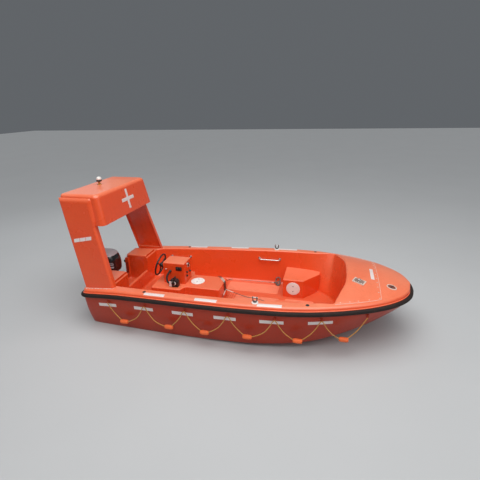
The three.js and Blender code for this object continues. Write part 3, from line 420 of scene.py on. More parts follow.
def carve(piece, shape, how):
    """Joins a shape to a piece, cuts it out of it, or keeps what both hold."""
    tool = mesh_object("carving_tool", shape)
    modifier = piece.modifiers.new("carve", "BOOLEAN")
    modifier.operation = how
    modifier.solver = "MANIFOLD"
    modifier.object = tool
    graph = bpy.context.evaluated_depsgraph_get()
    result = bpy.data.meshes.new_from_object(piece.evaluated_get(graph))
    piece.modifiers.clear()
    piece.data = result
    bpy.data.objects.remove(tool)
    return piece


# Finishes

FINISHES = {}


def feed(tree, socket, value):
    """Gives a socket a field to read, or a plain value."""
    if isinstance(value, Field):
        tree.links.new(value.socket, socket)
    else:
        socket.default_value = value


def node(tree, kind, settings=None, **inputs):
    """A node with its settings and inputs. An input called n1 is the second socket, and so on."""
    made = tree.nodes.new(kind)
    for key, value in (settings or {}).items():
        setattr(made, key, value)
    for key, value in inputs.items():
        numbered = key[0] == "n" and key[1:].isdigit()
        feed(tree, made.inputs[int(key[1:]) if numbered else key.replace("_", " ")], value)
    return made


class Field:
    """A value that varies over the surface. Sums and products of fields become maths nodes."""

    def __init__(self, socket):
        """Holds the socket that gives the value, and the tree that it is in."""
        self.socket = socket
        self.tree = socket.id_data

    def maths(self, operation, a, b=0.0):
        """The result of one operation on two values."""
        return Field(node(self.tree, "ShaderNodeMath", {"operation": operation}, n0=a, n1=b).outputs[0])

    def __add__(self, other):
        """The sum of two values."""
        return self.maths("ADD", self, other)

    def __sub__(self, other):
        """This value less another."""
        return self.maths("SUBTRACT", self, other)

    def __rsub__(self, other):
        """Another value less this one."""
        return self.maths("SUBTRACT", other, self)

    def __mul__(self, other):
        """The product of two values."""
        return self.maths("MULTIPLY", self, other)

    def most(self, other):
        """The larger of two fields."""
        return self.maths("MAXIMUM", self, other)

    def sine(self):
        """The field's sine."""
        return self.maths("SINE", self)

    def span(self, low, high, to_low=0.0, to_high=1.0):
        """The field carried from one range to another, held at its ends."""
        limits = {"n1": low, "n2": high, "n3": to_low, "n4": to_high}
        return Field(node(self.tree, "ShaderNodeMapRange", n0=self, **limits).outputs[0])

    def stretched(self, scale):
        """A place scaled by its own factor along each axis."""
        return Field(node(self.tree, "ShaderNodeMapping", Vector=self, Scale=scale).outputs[0])

    def part(self, axis):
        """One coordinate of a vector."""
        return Field(node(self.tree, "ShaderNodeSeparateXYZ", n0=self).outputs[axis])

    def noise(self, scale, detail=3.0, roughness=0.55):
        """A noise pattern's value at this place."""
        pattern = {"Scale": scale, "Detail": detail, "Roughness": roughness}
        return Field(node(self.tree, "ShaderNodeTexNoise", Vector=self, **pattern).outputs["Fac"])

    def mix(self, a, b, blend="MIX"):
        """Two colours mixed by this field."""
        settings = {"data_type": "RGBA", "blend_type": blend}
        return Field(node(self.tree, "ShaderNodeMix", settings, n0=self, n6=a, n7=b).outputs[2])


def object_place(tree):
    """The place on the object, in metres."""
    return Field(node(tree, "ShaderNodeTexCoord").outputs["Object"])


def new_group(name, **inputs):
    """A shader node group with named inputs, which puts out colour, roughness and height."""
    tree = bpy.data.node_groups.new(name, "ShaderNodeTree")
    colour, number = "NodeSocketColor", "NodeSocketFloat"
    for label, value in inputs.items():
        kind = colour if isinstance(value, tuple) else number
        tree.interface.new_socket(name=label, in_out="INPUT", socket_type=kind).default_value = value
    for label, kind in (("Colour", colour), ("Roughness", number), ("Height", number)):
        tree.interface.new_socket(name=label, in_out="OUTPUT", socket_type=kind)
    given = tree.nodes.new("NodeGroupInput").outputs
    return tree, {label: Field(given[label]) for label in inputs}


def put_out(tree, colour, roughness, height):
    """Ends a group with its three results."""
    results = {"Colour": colour, "Roughness": roughness, "Height": height}
    node(tree, "NodeGroupOutput", **results)
    return tree


def weathering_and_light_group():
    """Mottled, sun-faded and scuffed skin, with painted light. Upward faces fade, less so low in the
    cockpit: partly sun fade, partly a painted highlight of tops in the sky's light, with the floor kept
    darker as painted shade. Up-facing faces near the floor darken towards the dirt colour, as walked-on dirt
    and painted shade.
    """
    tree, given = new_group(
        "Weathering", Skin=(0.8, 0.1, 0.03, 1), Faded=(0.9, 0.3, 0.2, 1), Dirt=(0.1, 0.07, 0.05, 1),
        Fade=0.3, Dirtiness=0.2, Smoothness=0.25, Scale=1.0,
    )
    place = object_place(tree)
    sized = node(tree, "ShaderNodeVectorMath", {"operation": "SCALE"}, n0=place, Scale=given["Scale"])
    where = Field(sized.outputs[0])
    broad, fine = where.noise(1.7, 4), where.noise(38, 4)
    level = Field(node(tree, "ShaderNodeNewGeometry").outputs["Normal"]).part("Z")
    height = place.part("Z")
    # Painted highlight with sun fade: up-facing faces turn paler, less so low down, which keeps the cockpit
    # floor darker as painted shade.
    upward = level.span(0.1, 1.0) * height.span(0.16, 0.72, 0.34, 1.05)
    mottled = broad.span(0.35, 0.7, 0.0, 0.28).mix(given["Skin"], given["Faded"], "MULTIPLY")
    faded = (upward * given["Fade"] * broad.span(0.3, 0.7, 0.65, 1.15)).mix(mottled, given["Faded"])
    spots = where.stretched((5.0, 5.0, 0.9)).noise(2.4, 8, 0.72)
    # Painted shade with walked-on dirt: up-facing faces near the floor darken towards the dirt colour, and
    # the dirt mask below carries it.
    floor_dirt_and_shade = height.span(0.14, 0.19, 0.2, 0.0) * level
    dirt = (spots.span(0.56, 0.78) * given["Dirtiness"]).most(floor_dirt_and_shade)
    specks = fine.span(0.4, 0.75) * (given["Dirtiness"] * 0.35)
    rough = given["Smoothness"] + (dirt + broad.span(0.3, 0.7)) * 0.14 + upward * 0.1
    scratches = where.stretched((1.0, 9.0, 9.0)).noise(21, 2).span(0.68, 0.74)
    # The colour holds this painted shade of the floor together with the real dirt and specks.
    soiled_and_shaded = dirt.most(specks).mix(faded, given["Dirt"])
    return put_out(tree, soiled_and_shaded, rough, fine * 0.5 - scratches * 0.3)


def grain_group():
    """Grit, foam or rubber grain: small cells give height, and a broad noise lays dust between."""
    tree, given = new_group(
        "Grain", Skin=(0.1, 0.1, 0.1, 1), Dust=(0.4, 0.35, 0.3, 1), Dustiness=0.2, Scale=400.0,
        Smoothness=0.7,
    )
    place = object_place(tree)
    cells = node(tree, "ShaderNodeTexVoronoi", Vector=place, Scale=given["Scale"]).outputs["Distance"]
    cells = Field(cells)
    broad = place.noise(6.5, 8, 0.7)
    dust = broad.span(0.42, 0.68) * given["Dustiness"]
    speck = cells.span(0.25, 0.6) * (given["Dustiness"] * 0.5)
    colour = dust.most(speck).mix(given["Skin"], given["Dust"])
    return put_out(tree, colour, given["Smoothness"] + broad * 0.2, cells)


def brushed_group():
    """Drawn metal: noise stretched along one direction varies its shade and roughness."""
    tree, given = new_group(
        "Brushed", Skin=(0.6, 0.6, 0.6, 1), Tarnish=(0.3, 0.26, 0.22, 1), Age=0.2, Smoothness=0.22,
    )
    place = object_place(tree)
    lines = place.stretched((30.0, 400.0, 400.0)).noise(1.0, 2)
    age = place.noise(45, 5, 0.7).span(0.45, 0.72) * given["Age"]
    rough = given["Smoothness"] + (lines * 0.16 + age)
    return put_out(tree, age.mix(given["Skin"], given["Tarnish"]), rough, lines)


def braid_group():
    """Rope or wire strands: two families of waves wind round the cord in its own UV map."""
    tree, given = new_group(
        "Braid", Skin=(0.7, 0.4, 0.05, 1), Shadow=(0.2, 0.1, 0.02, 1), Along=0.6, Around=4.0,
        Crossing=1.0, Smoothness=0.7,
    )
    strand = Field(node(tree, "ShaderNodeUVMap", {"uv_map": "strand"}).outputs[0])
    along = strand.part("X") * given["Along"] * (2 * math.pi)
    around = strand.part("Y") * given["Around"] * (2 * math.pi)
    crossing = (along - around).sine() * given["Crossing"]
    weave = (along + around).sine().most(crossing).span(-1.0, 1.0)
    broad = object_place(tree).noise(9.0, 5, 0.7)
    shade = (1.0 - weave) * broad.span(0.3, 0.7, 0.5, 0.95)
    colour = shade.mix(given["Skin"], given["Shadow"])
    return put_out(tree, colour, given["Smoothness"] + broad * 0.15, weave)


def new_material(name, group, values, bump, reach, **shader):
    """A material: one effect group feeds a Principled shader's colour, roughness and bump."""
    material = bpy.data.materials.new(name)
    material.use_nodes = True
    tree = material.node_tree
    principled = tree.nodes["Principled BSDF"]
    for key, value in shader.items():
        principled.inputs[key.replace("_", " ")].default_value = value
    effect = node(tree, "ShaderNodeGroup", {"node_tree": group}, **values)
    raised = {"Strength": bump, "Distance": reach, "Height": Field(effect.outputs["Height"])}
    feed(tree, principled.inputs["Base Color"], Field(effect.outputs["Colour"]))
    feed(tree, principled.inputs["Roughness"], Field(effect.outputs["Roughness"]))
    feed(tree, principled.inputs["Normal"], Field(node(tree, "ShaderNodeBump", **raised).outputs[0]))
    return material


def build_finishes(look):
    """Every material of the boat, each with the record's slot that it belongs to."""
    weathering_and_light, grain, brushed, braid = weathering_and_light_group(), grain_group(), brushed_group(), braid_group()

    def keep(finish, slot, name, group, values, bump, reach, shader):
        """Keeps a material with its slot, each colour with a fourth value of 1."""
        for key in ("Skin", "Faded", "Dirt", "Dust", "Tarnish", "Shadow"):
            if key in values:
                values[key] = (*values[key], 1)
        FINISHES[finish] = new_material(name, group, values, bump, reach, **shader), slot

    def glossy(finish, name, skin, fade, dirt, smoothness, **shader):
        """A gelcoat: weathered skin under a clear coat, with the group's painted highlight on its tops and
        painted shade near the floor.
        """
        values = {"Skin": skin, "Faded": look.faded, "Dirt": (0.12, 0.045, 0.025)}
        values.update(Fade=fade, Dirtiness=dirt, Smoothness=smoothness)
        shader["Coat_Roughness"] = 0.12
        keep(finish, "grp_orange", name, weathering_and_light, values, 0.12, 0.0006, shader)

    def grainy(finish, slot, name, skin, dust, dustiness, scale, smoothness, bump, reach, **shader):
        """A grainy surface with dust."""
        values = {"Skin": skin, "Dust": dust, "Dustiness": dustiness, "Scale": scale}
        keep(finish, slot, name, grain, {**values, "Smoothness": smoothness}, bump, reach, shader)

    def skinned(finish, slot, name, skin, faded, fade, dirt, smoothness, bump=0.1, **shader):
        """A weathered skin of finer scale, with the group's painted highlight on its tops and painted shade
        near the floor.
        """
        values = {"Skin": skin, "Faded": faded, "Dirt": (0.09, 0.075, 0.06), "Scale": 2.5}
        values.update(Fade=fade, Dirtiness=dirt, Smoothness=smoothness)
        keep(finish, slot, name, weathering_and_light, values, bump, 0.0004, shader)

    def metal(finish, slot, name, skin, age, smoothness):
        """Brushed bare metal."""
        values = {"Skin": skin, "Age": age, "Smoothness": smoothness}
        keep(finish, slot, name, brushed, values, 0.05, 0.0003, {"Metallic": 1.0})

    def strands(finish, slot, name, skin, shadow, along, around, crossing, smoothness, **shader):
        """A rope or wire of strands."""
        values = {"Skin": skin, "Shadow": shadow, "Along": along, "Around": around, "Crossing": crossing}
        keep(finish, slot, name, braid, {**values, "Smoothness": smoothness}, 0.9, 0.0012, shader)

    glossy("gelcoat", "gelcoat_orange", look.gelcoat, 0.5, 0.2, 0.2, Coat_Weight=0.3)
    # The hull's sides take the darker topside colour: painted shade, as they face away from the sky.
    glossy(
        "hull gelcoat", "gelcoat_hull", look.topside, 0.1, 0.5, 0.3, Coat_Weight=0.06,
        Specular_IOR_Level=0.3,
    )
    grainy(
        "grit", "grp_orange", "nonskid_orange", (0.84, 0.24, 0.135), (0.8, 0.15, 0.06), 0.5, 420, 0.62,
        0.8, 0.002,
    )
    grainy(
        "fender", "rubber_black", "fender_rubber", (0.012, 0.01, 0.01), (0.1, 0.05, 0.035), 0.3, 260,
        0.6, 0.5, 0.0012, Specular_IOR_Level=0.25,
    )
    grainy(
        "hose", "rubber_black", "hose_rubber", (0.014, 0.014, 0.015), (0.1, 0.09, 0.08), 0.15, 500,
        0.45, 0.3, 0.0005,
    )
    grainy(
        "float", "rope_yellow", "float_foam", look.float_colour, (0.5, 0.16, 0.08), 0.3, 700, 0.55, 0.4,
        0.0008,
    )
    grainy(
        "tape", "plastic_white", "reflective_tape", look.tape, (0.62, 0.5, 0.47), 0.35, 900, 0.3, 0.25,
        0.0004, Coat_Weight=0.5,
    )
    strands(
        "wire", "bridle_steel", "steel_wire", (0.2, 0.18, 0.165), (0.03, 0.027, 0.025), 0.35, 6.0, 0.0,
        0.4, Metallic=0.8,
    )
    strands(
        "rope", "rope_yellow", "rope_yellow", look.rope, (0.28, 0.11, 0.015), 0.55, 4.0, 1.0, 0.72,
        Sheen_Weight=0.25,
    )
    metal("steel", "stainless", "stainless_steel", (0.62, 0.61, 0.6), 0.18, 0.14)
    metal("dark steel", "bridle_steel", "weathered_steel", (0.16, 0.145, 0.135), 0.35, 0.34)
    metal("alloy", "motor_alloy", "cast_alloy", (0.42, 0.43, 0.44), 0.3, 0.34)
    skinned("white", "plastic_white", "white_plastic", look.white, (0.9, 0.88, 0.85), 0.3, 0.18, 0.3)
    skinned("sealant", "plastic_white", "sealant", (0.75, 0.66, 0.6), (0.8, 0.75, 0.7), 0.2, 0.4, 0.5)
    skinned(
        "black", "plastic_black", "black_plastic", (0.013, 0.013, 0.014), (0.05, 0.05, 0.052), 0.25,
        0.2, 0.32,
    )
    skinned(
        "sleeve", "bridle_steel", "pressed_sleeve", (0.66, 0.54, 0.47), (0.84, 0.74, 0.68), 0.5, 0.5,
        0.35,
    )
    # A dark inset for the mooring plate: painted shade under its bow.
    skinned("tray", "stainless", "worn_tray", (0.17, 0.11, 0.09), (0.4, 0.3, 0.25), 0.4, 0.6, 0.4)
    skinned(
        "pale ring", "stainless", "pale_casting", (0.66, 0.5, 0.43), (0.84, 0.68, 0.6), 0.4, 0.35,
        0.35,
    )
    skinned("stripe", "motor_black", "motor_stripe", (0.52, 0.54, 0.57), (0.7, 0.71, 0.73), 0.3, 0.1, 0.22)
    skinned("dial", "stainless", "dial_face", (0.7, 0.7, 0.68), (0.75, 0.75, 0.72), 0.1, 0.05, 0.2)
    skinned("plug", "stainless", "deck_plug", (0.17, 0.035, 0.022), (0.3, 0.1, 0.07), 0.3, 0.4, 0.4)
    skinned(
        "amber", "lamp_amber", "amber_lens", (0.62, 0.24, 0.03), (0.75, 0.4, 0.12), 0.2, 0.15, 0.16,
        Transmission_Weight=0.25, IOR=1.49,
    )
    skinned(
        "enamel", "motor_black", "motor_enamel", (0.012, 0.013, 0.015), (0.05, 0.052, 0.056), 0.3, 0.12,
        0.14, 0.05, Coat_Weight=0.6,
    )


# Hull and deck surfaces

def hull_lines(count):
    """Every column of the hull's table at equal steps along the joint, as smooth curves."""
    s = lengths(HULL_LINES[:, :2])
    t = np.linspace(0, s[-1], count)
    columns = [smooth(t, s, HULL_LINES[:, k]) for k in range(8)]
    x, half, chine, chine_z, keel_z, rise, back, crown = columns
    return {
        "x": at(x), "half": half, "chine": chine, "chine_z": chine_z, "keel_z": keel_z,
        "sheer": STERN_SHEER + rise, "back": back, "crown": crown,
    }


LINES = hull_lines(900)


def line(key, x):
    """One of the hull's lines at x."""
    return np.interp(x, LINES["x"], LINES[key])


def gunwale_reach(half, hull):
    """How far the gunwale's rounding reaches inboard. It narrows with the deck at the bow."""
    return hull.gunwale_width * np.minimum(1, half / NARROW_HALF)


def gunwale_fall(share, hull):
    """Drop of the gunwale's rounding, a superellipse, at a share of its width out from its inside."""
    return hull.gunwale_drop * (1 - (1 - np.clip(share, 0, 1) ** 2.3) ** (1 / 2.3))


def deck_height(x, y, hull):
    """Height of the deck: a crown that falls by a power of the way outboard, then the gunwale."""
    half, sheer = line("half", x), line("sheer", x)
    wide = gunwale_reach(half, hull)
    inside = half - wide
    crown = line("crown", x) * (1 - np.minimum(1, np.abs(y) / inside) ** CROWN_POWER)
    return sheer + crown - gunwale_fall((np.abs(y) - inside) / wide, hull)


# Bottom section. Columns: share of the way from chine to keel, and depth of a rail there in metres.
BOTTOM = np.array([
    [0.0, 0.0], [0.012, 0.01], [0.05, 0.01], [0.052, 0.0], [0.2, 0.0], [0.33, 0.0], [0.355, 0.016],
    [0.357, 0.0], [0.5, 0.0], [0.63, 0.0], [0.655, 0.016], [0.657, 0.0], [0.8, 0.0], [0.94, 0.0],
    [0.955, 0.024], [1.0, 0.026],
])


def across_boat(port):
    """Closed sections from their port halves, which run from the edge to the centreline."""
    return np.concatenate([port, port[:, -2::-1] * MIRROR], 1)


def hull_rings(drop, count=220):
    """Sections of the hull: a flange, a bulged topside to the chine, and a bottom with rails."""
    lines = {key: values[:, None] for key, values in hull_lines(count).items()}
    x, half, chine, chine_z, keel_z, sheer, back, _ = lines.values()
    joint = sheer - JOINT_DROP
    t = np.linspace(0, 1, 12)[None, :]
    side_y = half + (chine - half) * t + TOPSIDE_BULGE * (joint - chine_z) * 4 * t * (1 - t)
    side_z = (joint - JOINT_FLANGE) * (1 - t) + chine_z * t
    b = BOTTOM[None, 1:, 0]
    fade = np.clip((at(3.9) - x) / 0.6, 0, 1) * np.clip((x - at(0.05)) / 0.05, 0, 1)
    low_z = chine_z * (1 - b) + keel_z * b - BOTTOM[None, 1:, 1] * fade
    y = np.concatenate([half, side_y, chine * (1 - b)], 1)
    z = np.concatenate([sheer - drop, side_z, low_z], 1)
    aft = np.concatenate([0 * half, 0.5 * back * t, back * (0.5 + 0.5 * b)], 1)
    return across_boat(np.stack([x - aft, y, z], -1))


FLANGE_OUT, FLANGE_LOW, FLANGE_HIGH = 0.017, 0.0465, 0.04


def deck_rings(hull, count=220, lift=0.0, flange=FLANGE_OUT):
    """Sections of the deck: a lip over the fender, the gunwale's rounding and the crowned deck."""
    lines = hull_lines(count)
    x, half, sheer, crown = (lines[k][:, None] for k in ("x", "half", "sheer", "crown"))
    wide = gunwale_reach(half, hull)
    lip = flange * np.minimum(1, half / NARROW_HALF)
    share = 1 - np.linspace(0, 1, 9)[None, :] ** 1.6
    t = np.linspace(1, 0, 12)[None, 1:]
    side_y = [half, half, half + lip - 0.002, half + lip, half + lip - 0.002, half + 0.003]
    middle = (FLANGE_LOW + FLANGE_HIGH) / 2
    drops = [JOINT_DROP - GAP, FLANGE_LOW, FLANGE_LOW, middle, FLANGE_HIGH, FLANGE_HIGH]
    y = np.concatenate([*side_y, half - wide * (1 - share), (half - wide) * t], 1)
    edge_z, top_z = sheer - gunwale_fall(share, hull), sheer + crown * (1 - t ** CROWN_POWER)
    z = np.concatenate([*(sheer - d for d in drops), edge_z, top_z], 1)
    return across_boat(np.stack([x + 0 * y, y, z + lift], -1))


def cockpit_outlines(count):
    """The cockpit's rim and floor outlines as closed smooth curves, matched point by point."""
    s = lengths((COCKPIT_LINES[:, :2] + COCKPIT_LINES[:, 2:]) / 2)
    t = np.linspace(0, s[-1], count)
    rim_x, rim_y, floor_x, floor_y = (smooth(t, s, column) for column in COCKPIT_LINES.T)
    port = [np.stack([at(x), y], -1) for x, y in ((rim_x, rim_y), (floor_x, floor_y))]
    return [np.concatenate([p, p[-2:0:-1] * MIRROR[:2]]) for p in port]


def cockpit_space(hull, grow=0.0, floor=FLOOR_Z, fillet=0.045, rim_radius=0.02):
    """The cockpit's hollow. Its wall leaves the floor and meets the deck in quarter circles."""
    rim, base = (inset(outline, -grow) for outline in cockpit_outlines(240))
    foot, head = floor + fillet, deck_height(rim[:, 0], rim[:, 1], hull) - rim_radius
    rings = []
    for a in np.linspace(0, np.pi / 2, 7):
        rings.append(flat(inset(base, fillet * (1 - math.sin(a))), foot - fillet * math.cos(a)))
    for t in np.linspace(0.12, 1, 6):
        rings.append(flat(base + (rim - base) * t, foot + (head - foot) * t))
    for a in np.radians([20, 40, 60, 78]):
        plan = inset(rim, -rim_radius * (1 - math.cos(a)))
        rings.append(flat(plan, head + rim_radius * math.sin(a)))
    return loft([*rings, flat(plan, CUT_TOP)])


def well_space(grow, floor):
    """The motor well's hollow, with rounded lower edges and corners."""
    half = WELL_HALF + grow
    corners = rectangle(at(TRANSOM_X + TRANSOM_THICK), at(WELL_FRONT) + grow, -half, half)
    return block(corners, WELL_EDGE, floor, ABOVE_ALL, 0.0, WELL_EDGE)


def notch_space():
    """The notch in the transom that the motor hangs in."""
    corners = rectangle(at(-0.1), at(TRANSOM_X + TRANSOM_THICK) + 0.002, TRANSOM_TOP, ABOVE_ALL)
    outline = rounded_outline(corners, 0.004, 2)
    return loft([upright(outline, y) for y in (-NOTCH_HALF, NOTCH_HALF)])


def cheek():
    """The port cheek beside the motor well: a block with rounded edges."""
    corners = rectangle(at(CHEEK_AFT), at(COCKPIT_AFT) + 0.002, CHEEK_INNER, CHEEK_OUTER)
    return block(corners, (0.03, 0.027, 0.027, 0.03), STERN_SHEER - 0.04, CHEEK_TOP, 0.024)


def bulkhead_head():
    """A round head along the low bulkhead between well and cockpit."""
    middle, radius = at((WELL_FRONT + COCKPIT_AFT) / 2), 0.0249
    ends = [[middle, side * (WELL_HALF + 0.01), BULKHEAD_TOP - radius] for side in (-1, 1)]
    return tube(ends, radius, 24, UP)


def build_hull(hull):
    """The hull shell and the deck moulding with its cockpit and motor well."""
    shell = mesh_object("hull_moulding", loft(hull_rings(JOINT_DROP)))
    clear = SHELL + GAP
    for hollow in (
        cockpit_space(hull, clear, FLOOR_Z - clear), well_space(clear, WELL_FLOOR - clear),
        notch_space(),
    ):
        carve(shell, hollow, "DIFFERENCE")
    # Its darker gelcoat is painted shade on the hull's sides.
    finished(shell, "hull gelcoat", stands_for="hull_shell")

    deck = mesh_object("deck_moulding", cockpit_space(hull, SHELL, FLOOR_Z - SHELL))
    low = BULKHEAD_TOP - 0.025
    pass_way = block(rectangle(at(0.385), at(0.465), -WELL_HALF, WELL_HALF), 0.002, low, ABOVE_ALL, 0.0)
    for shape, how in (
        (well_space(SHELL, WELL_FLOOR - SHELL), "UNION"), (loft(hull_rings(JOINT_DROP / 2)), "INTERSECT"),
        (loft(deck_rings(hull)), "UNION"), (cheek(), "UNION"), (mirrored(cheek()), "UNION"),
        (cockpit_space(hull), "DIFFERENCE"), (well_space(0, WELL_FLOOR), "DIFFERENCE"),
        (notch_space(), "DIFFERENCE"), (pass_way, "DIFFERENCE"), (bulkhead_head(), "UNION"),
    ):
        carve(deck, shape, how)
    finished(deck, "gelcoat", stands_for="deck_liner", angle=30)


# Fender

FENDER_JOINT = 3.45


def fender_path():
    """The fender's run: from the port edge of the notch, along the joint and round the bow."""
    port = np.stack([LINES["x"], LINES["half"], LINES["sheer"] - JOINT_DROP], -1)
    stern = [[at(TRANSOM_X), y, STERN_SHEER - JOINT_DROP] for y in (NOTCH_HALF + 0.03, 0.75)]
    half = np.concatenate([stern, port])
    path = even(np.concatenate([half, half[::-1] * MIRROR])[::-1], 760)
    inner = np.stack([np.convolve(path[:, k], np.ones(5) / 5, "valid") for k in range(3)], -1)
    return np.concatenate([path[:2], inner, path[-2:]])


def fender_rings(sizes):
    """A D section with a bead above and below, carried along the joint."""
    path = fender_path()
    a = np.radians(np.linspace(-90, 90, 13))
    half = sizes.fender_height / 2
    bow_out = sizes.fender_depth * (0.42 + 0.58 * np.cos(a) ** 0.75)
    out = np.concatenate([[0.0004, 0.01, 0.012], bow_out, [0.012, 0.01, 0.0004]])
    up = half * np.concatenate([[-1, -1, -0.98], 0.98 * np.sin(a), [0.98, 1, 1]])
    way = unit(np.gradient(path[:, :2], axis=0))
    aside = np.stack([way[:, 1], -way[:, 0], 0 * way[:, 0]], -1)
    return path[:, None] + aside[:, None] * out[:, None] + up[:, None] * UP


def eased_ends(rings):
    """A run of rings whose two end rings are drawn in a little, as a cut rubber end is."""
    first, last = (
        ring.mean(axis=1, keepdims=True) * 0.12 + ring * 0.88 for ring in (rings[:1], rings[-1:])
    )
    near = [rings[:1] + 0.16 * (rings[1] - rings[0]), rings[-1:] + 0.16 * (rings[-2] - rings[-1])]
    return np.concatenate([first, near[0], rings[1:-1], near[1], last])


def build_fender(sizes):
    """The fender in a length along each side and one round the bow, which meet end to end."""
    rings = fender_rings(sizes)
    forward = np.nonzero(rings[:, 0, 0] > at(FENDER_JOINT))[0]
    start, end = forward[0], forward[-1]
    runs = {"starboard": rings[:start + 1], "bow": rings[start:end + 1], "port": rings[end:]}
    for label, run in runs.items():
        shape = loft(eased_ends(run))
        make("rubber_fender_" + label, shape, "fender", stands_for="fender_" + label, angle=50)


# Foredeck panel, its screws and the fittings on it

PANEL_FRONT = 4.04
PANEL_BORDER = 0.062
PANEL_THICK = 0.004

# The panel's aft edge. Columns: half breadth and station.
PANEL_EDGE = np.array([
    [0.0, 3.656], [0.19, 3.654], [0.345, 3.638], [0.52, 3.586], [0.69, 3.529], [0.785, 3.497],
])
SCREW = [(0.0075, 0), (0.0075, 0.0015), (0.006, 0.0032), (0.003, 0.0042)]


def deck_point(x, y, hull, lift=0.0):
    """A point on the deck, lifted by a distance."""
    x, y = np.broadcast_arrays(np.asarray(x, float), np.asarray(y, float))
    return np.stack([x, y, deck_height(x, y, hull) + lift], -1)


def panel_plan(u, t):
    """A point of the panel: u runs from its aft edge to its front, t from side to side."""
    x = at(3.6) + 0 * t
    for _ in range(6):
        x = at(read_off(PANEL_EDGE, np.abs(t * (line("half", x) - PANEL_BORDER)))[0])
    x = x + u * (at(PANEL_FRONT) - x)
    return x, t * (line("half", x) - PANEL_BORDER)


def build_foredeck(hull):
    """The panel on the crown with eased edges, its sealed seam, and the domed screws round it."""
    u = np.linspace(0, 1, 44)[:, None]
    t = np.linspace(-1, 1, 72)[None, :]
    x, y = panel_plan(u, t)
    edge = np.minimum(np.minimum(u, 1 - u) * 0.5, (1 - np.abs(t)) * 0.7)
    top = deck_point(x, y, hull, 0.0022 + 0.0018 * np.clip(edge / 0.006, 0, 1))
    plate = slab(top, deck_point(x, y, hull, -0.003))
    make("foredeck_plate", plate, "gelcoat", stands_for="foredeck_panel")

    run, across = np.linspace(0, 1, 60), np.linspace(-1, 1, 60)
    seams = [panel_plan(run, np.ones(60)), panel_plan(run, -np.ones(60)), panel_plan(np.ones(60), across)]
    tubes = [tube(deck_point(*seam, hull, 0.0012), 0.0022, 8, UP) for seam in seams]
    make("foredeck_seam", merged(*tubes), "sealant")

    front = at(PANEL_FRONT) - 0.024
    edge_x = np.array([at(3.555), at(3.665), at(3.765), at(3.893), front + 0.004])
    edge_y = line("half", edge_x) - PANEL_BORDER - 0.02
    across = np.linspace(-0.8, 0.8, 9) * (line("half", front) - PANEL_BORDER - 0.02)
    x, y = np.concatenate([edge_x, edge_x, np.full(9, front)]), np.concatenate([edge_y, -edge_y, across])
    heads = copies(turned(SCREW, sides=16), deck_point(x, y, hull, PANEL_THICK))
    make("foredeck_screws", heads, "pale ring")
    build_creases(hull)


def build_creases(hull):
    """Faint raised creases of the moulding on the panel, as ridges of a low round section."""
    routes = [
        [(3.655, -0.215), (3.715, -0.235)],
        [(3.812, -0.32), (3.806, -0.5), (3.8, -0.668)],
        [(3.64, 0.5), (3.76, 0.47), (3.89, 0.43)],
    ]
    ridges = []
    for route in routes:
        path = spline([(at(x), y, 0.0) for x, y in route], 10)
        ridges.append(tube(deck_point(path[:, 0], path[:, 1], hull, 0.0016), 0.0034, 10, UP))
    make("foredeck_creases", merged(*ridges), "gelcoat")


# Mooring fitting and the oval deck fitting

MOORING_PLACE, MOORING_TURN = (at(3.79), -0.282, 0), math.radians(-24)
OVAL_PLACE, OVAL_TURN = (at(4.19), -0.262, 0), math.radians(-14)
OVAL_LONG, OVAL_WIDE = 0.062, 0.052


def follow_deck(shape, hull, lift=0.0):
    """Lifts every point of a flat-lying shape by the deck's height under it."""
    points = shape[0] + 0.0
    points[:, 2] += deck_height(points[:, 0], points[:, 1], hull) + lift
    return points, shape[1]


def build_mooring(hull):
    """The mooring fitting: a square plate, turned, with raised edges, bolts and a round-bar bow, over a dark
    inset of painted shade.
    """
    turn = Matrix.Translation(MOORING_PLACE) @ Matrix.Rotation(MOORING_TURN, 4, "Z")
    plates = [
        block(rectangle(-0.075, 0.075, -0.06, 0.06), 0.007, 0.0, 0.0055, 0.0015),
        block(rectangle(-0.075, 0.075, -0.06, -0.05), 0.003, 0.004, 0.0125, 0.002),
        block(rectangle(-0.075, -0.067, -0.056, 0.056), 0.0028, 0.004, 0.0125, 0.002),
        block(rectangle(0.062, 0.07, -0.056, 0.045), 0.003, 0.004, 0.0105, 0.002),
    ]
    # A dark sheet inside the raised edges: painted shade under the bow.
    tray = block(rectangle(-0.064, 0.06, -0.049, 0.052), 0.005, 0.005, 0.0064, 0.0006)
    bolt = turned([(0.0075, 0.005), (0.0075, 0.0098), (0.006, 0.0112)], sides=6)
    bolts = copies(bolt, [(x, y, 0) for x in (-0.052, 0.046) for y in (-0.04, 0.044)])
    lift = PANEL_THICK + 0.0006
    plate = follow_deck(placed(merged(*plates, bolts), turn), hull, lift)
    make("mooring_plate", plate, "sleeve", stands_for="mooring_cleat")
    make("mooring_tray", follow_deck(placed(tray, turn), hull, lift), "tray")
    a = np.linspace(0, np.pi, 21)
    arc = np.stack([0 * a, -0.024 * np.cos(a), 0.014 + 0.024 * np.sin(a)], -1)
    feet = [[0, -0.024, 0.001], [0, 0.024, 0.001]]
    bow = tube([feet[0], *arc, feet[1]], 0.007, 18, FORWARD)
    collar = turned([(0.012, 0.0), (0.012, 0.008), (0.0095, 0.0105)], sides=20)
    loop = placed(merged(bow, copies(collar, feet)), turn)
    height = float(deck_height(*MOORING_PLACE[:2], hull)) + lift
    make("mooring_loop", placed(loop, Matrix.Translation((0, 0, height))), "steel")


def oval_ring(share, height):
    """A ring of the oval fitting, scaled by a share."""
    a = turns(56)
    return np.stack([OVAL_LONG * share * np.cos(a), OVAL_WIDE * share * np.sin(a), height + 0 * a], -1)


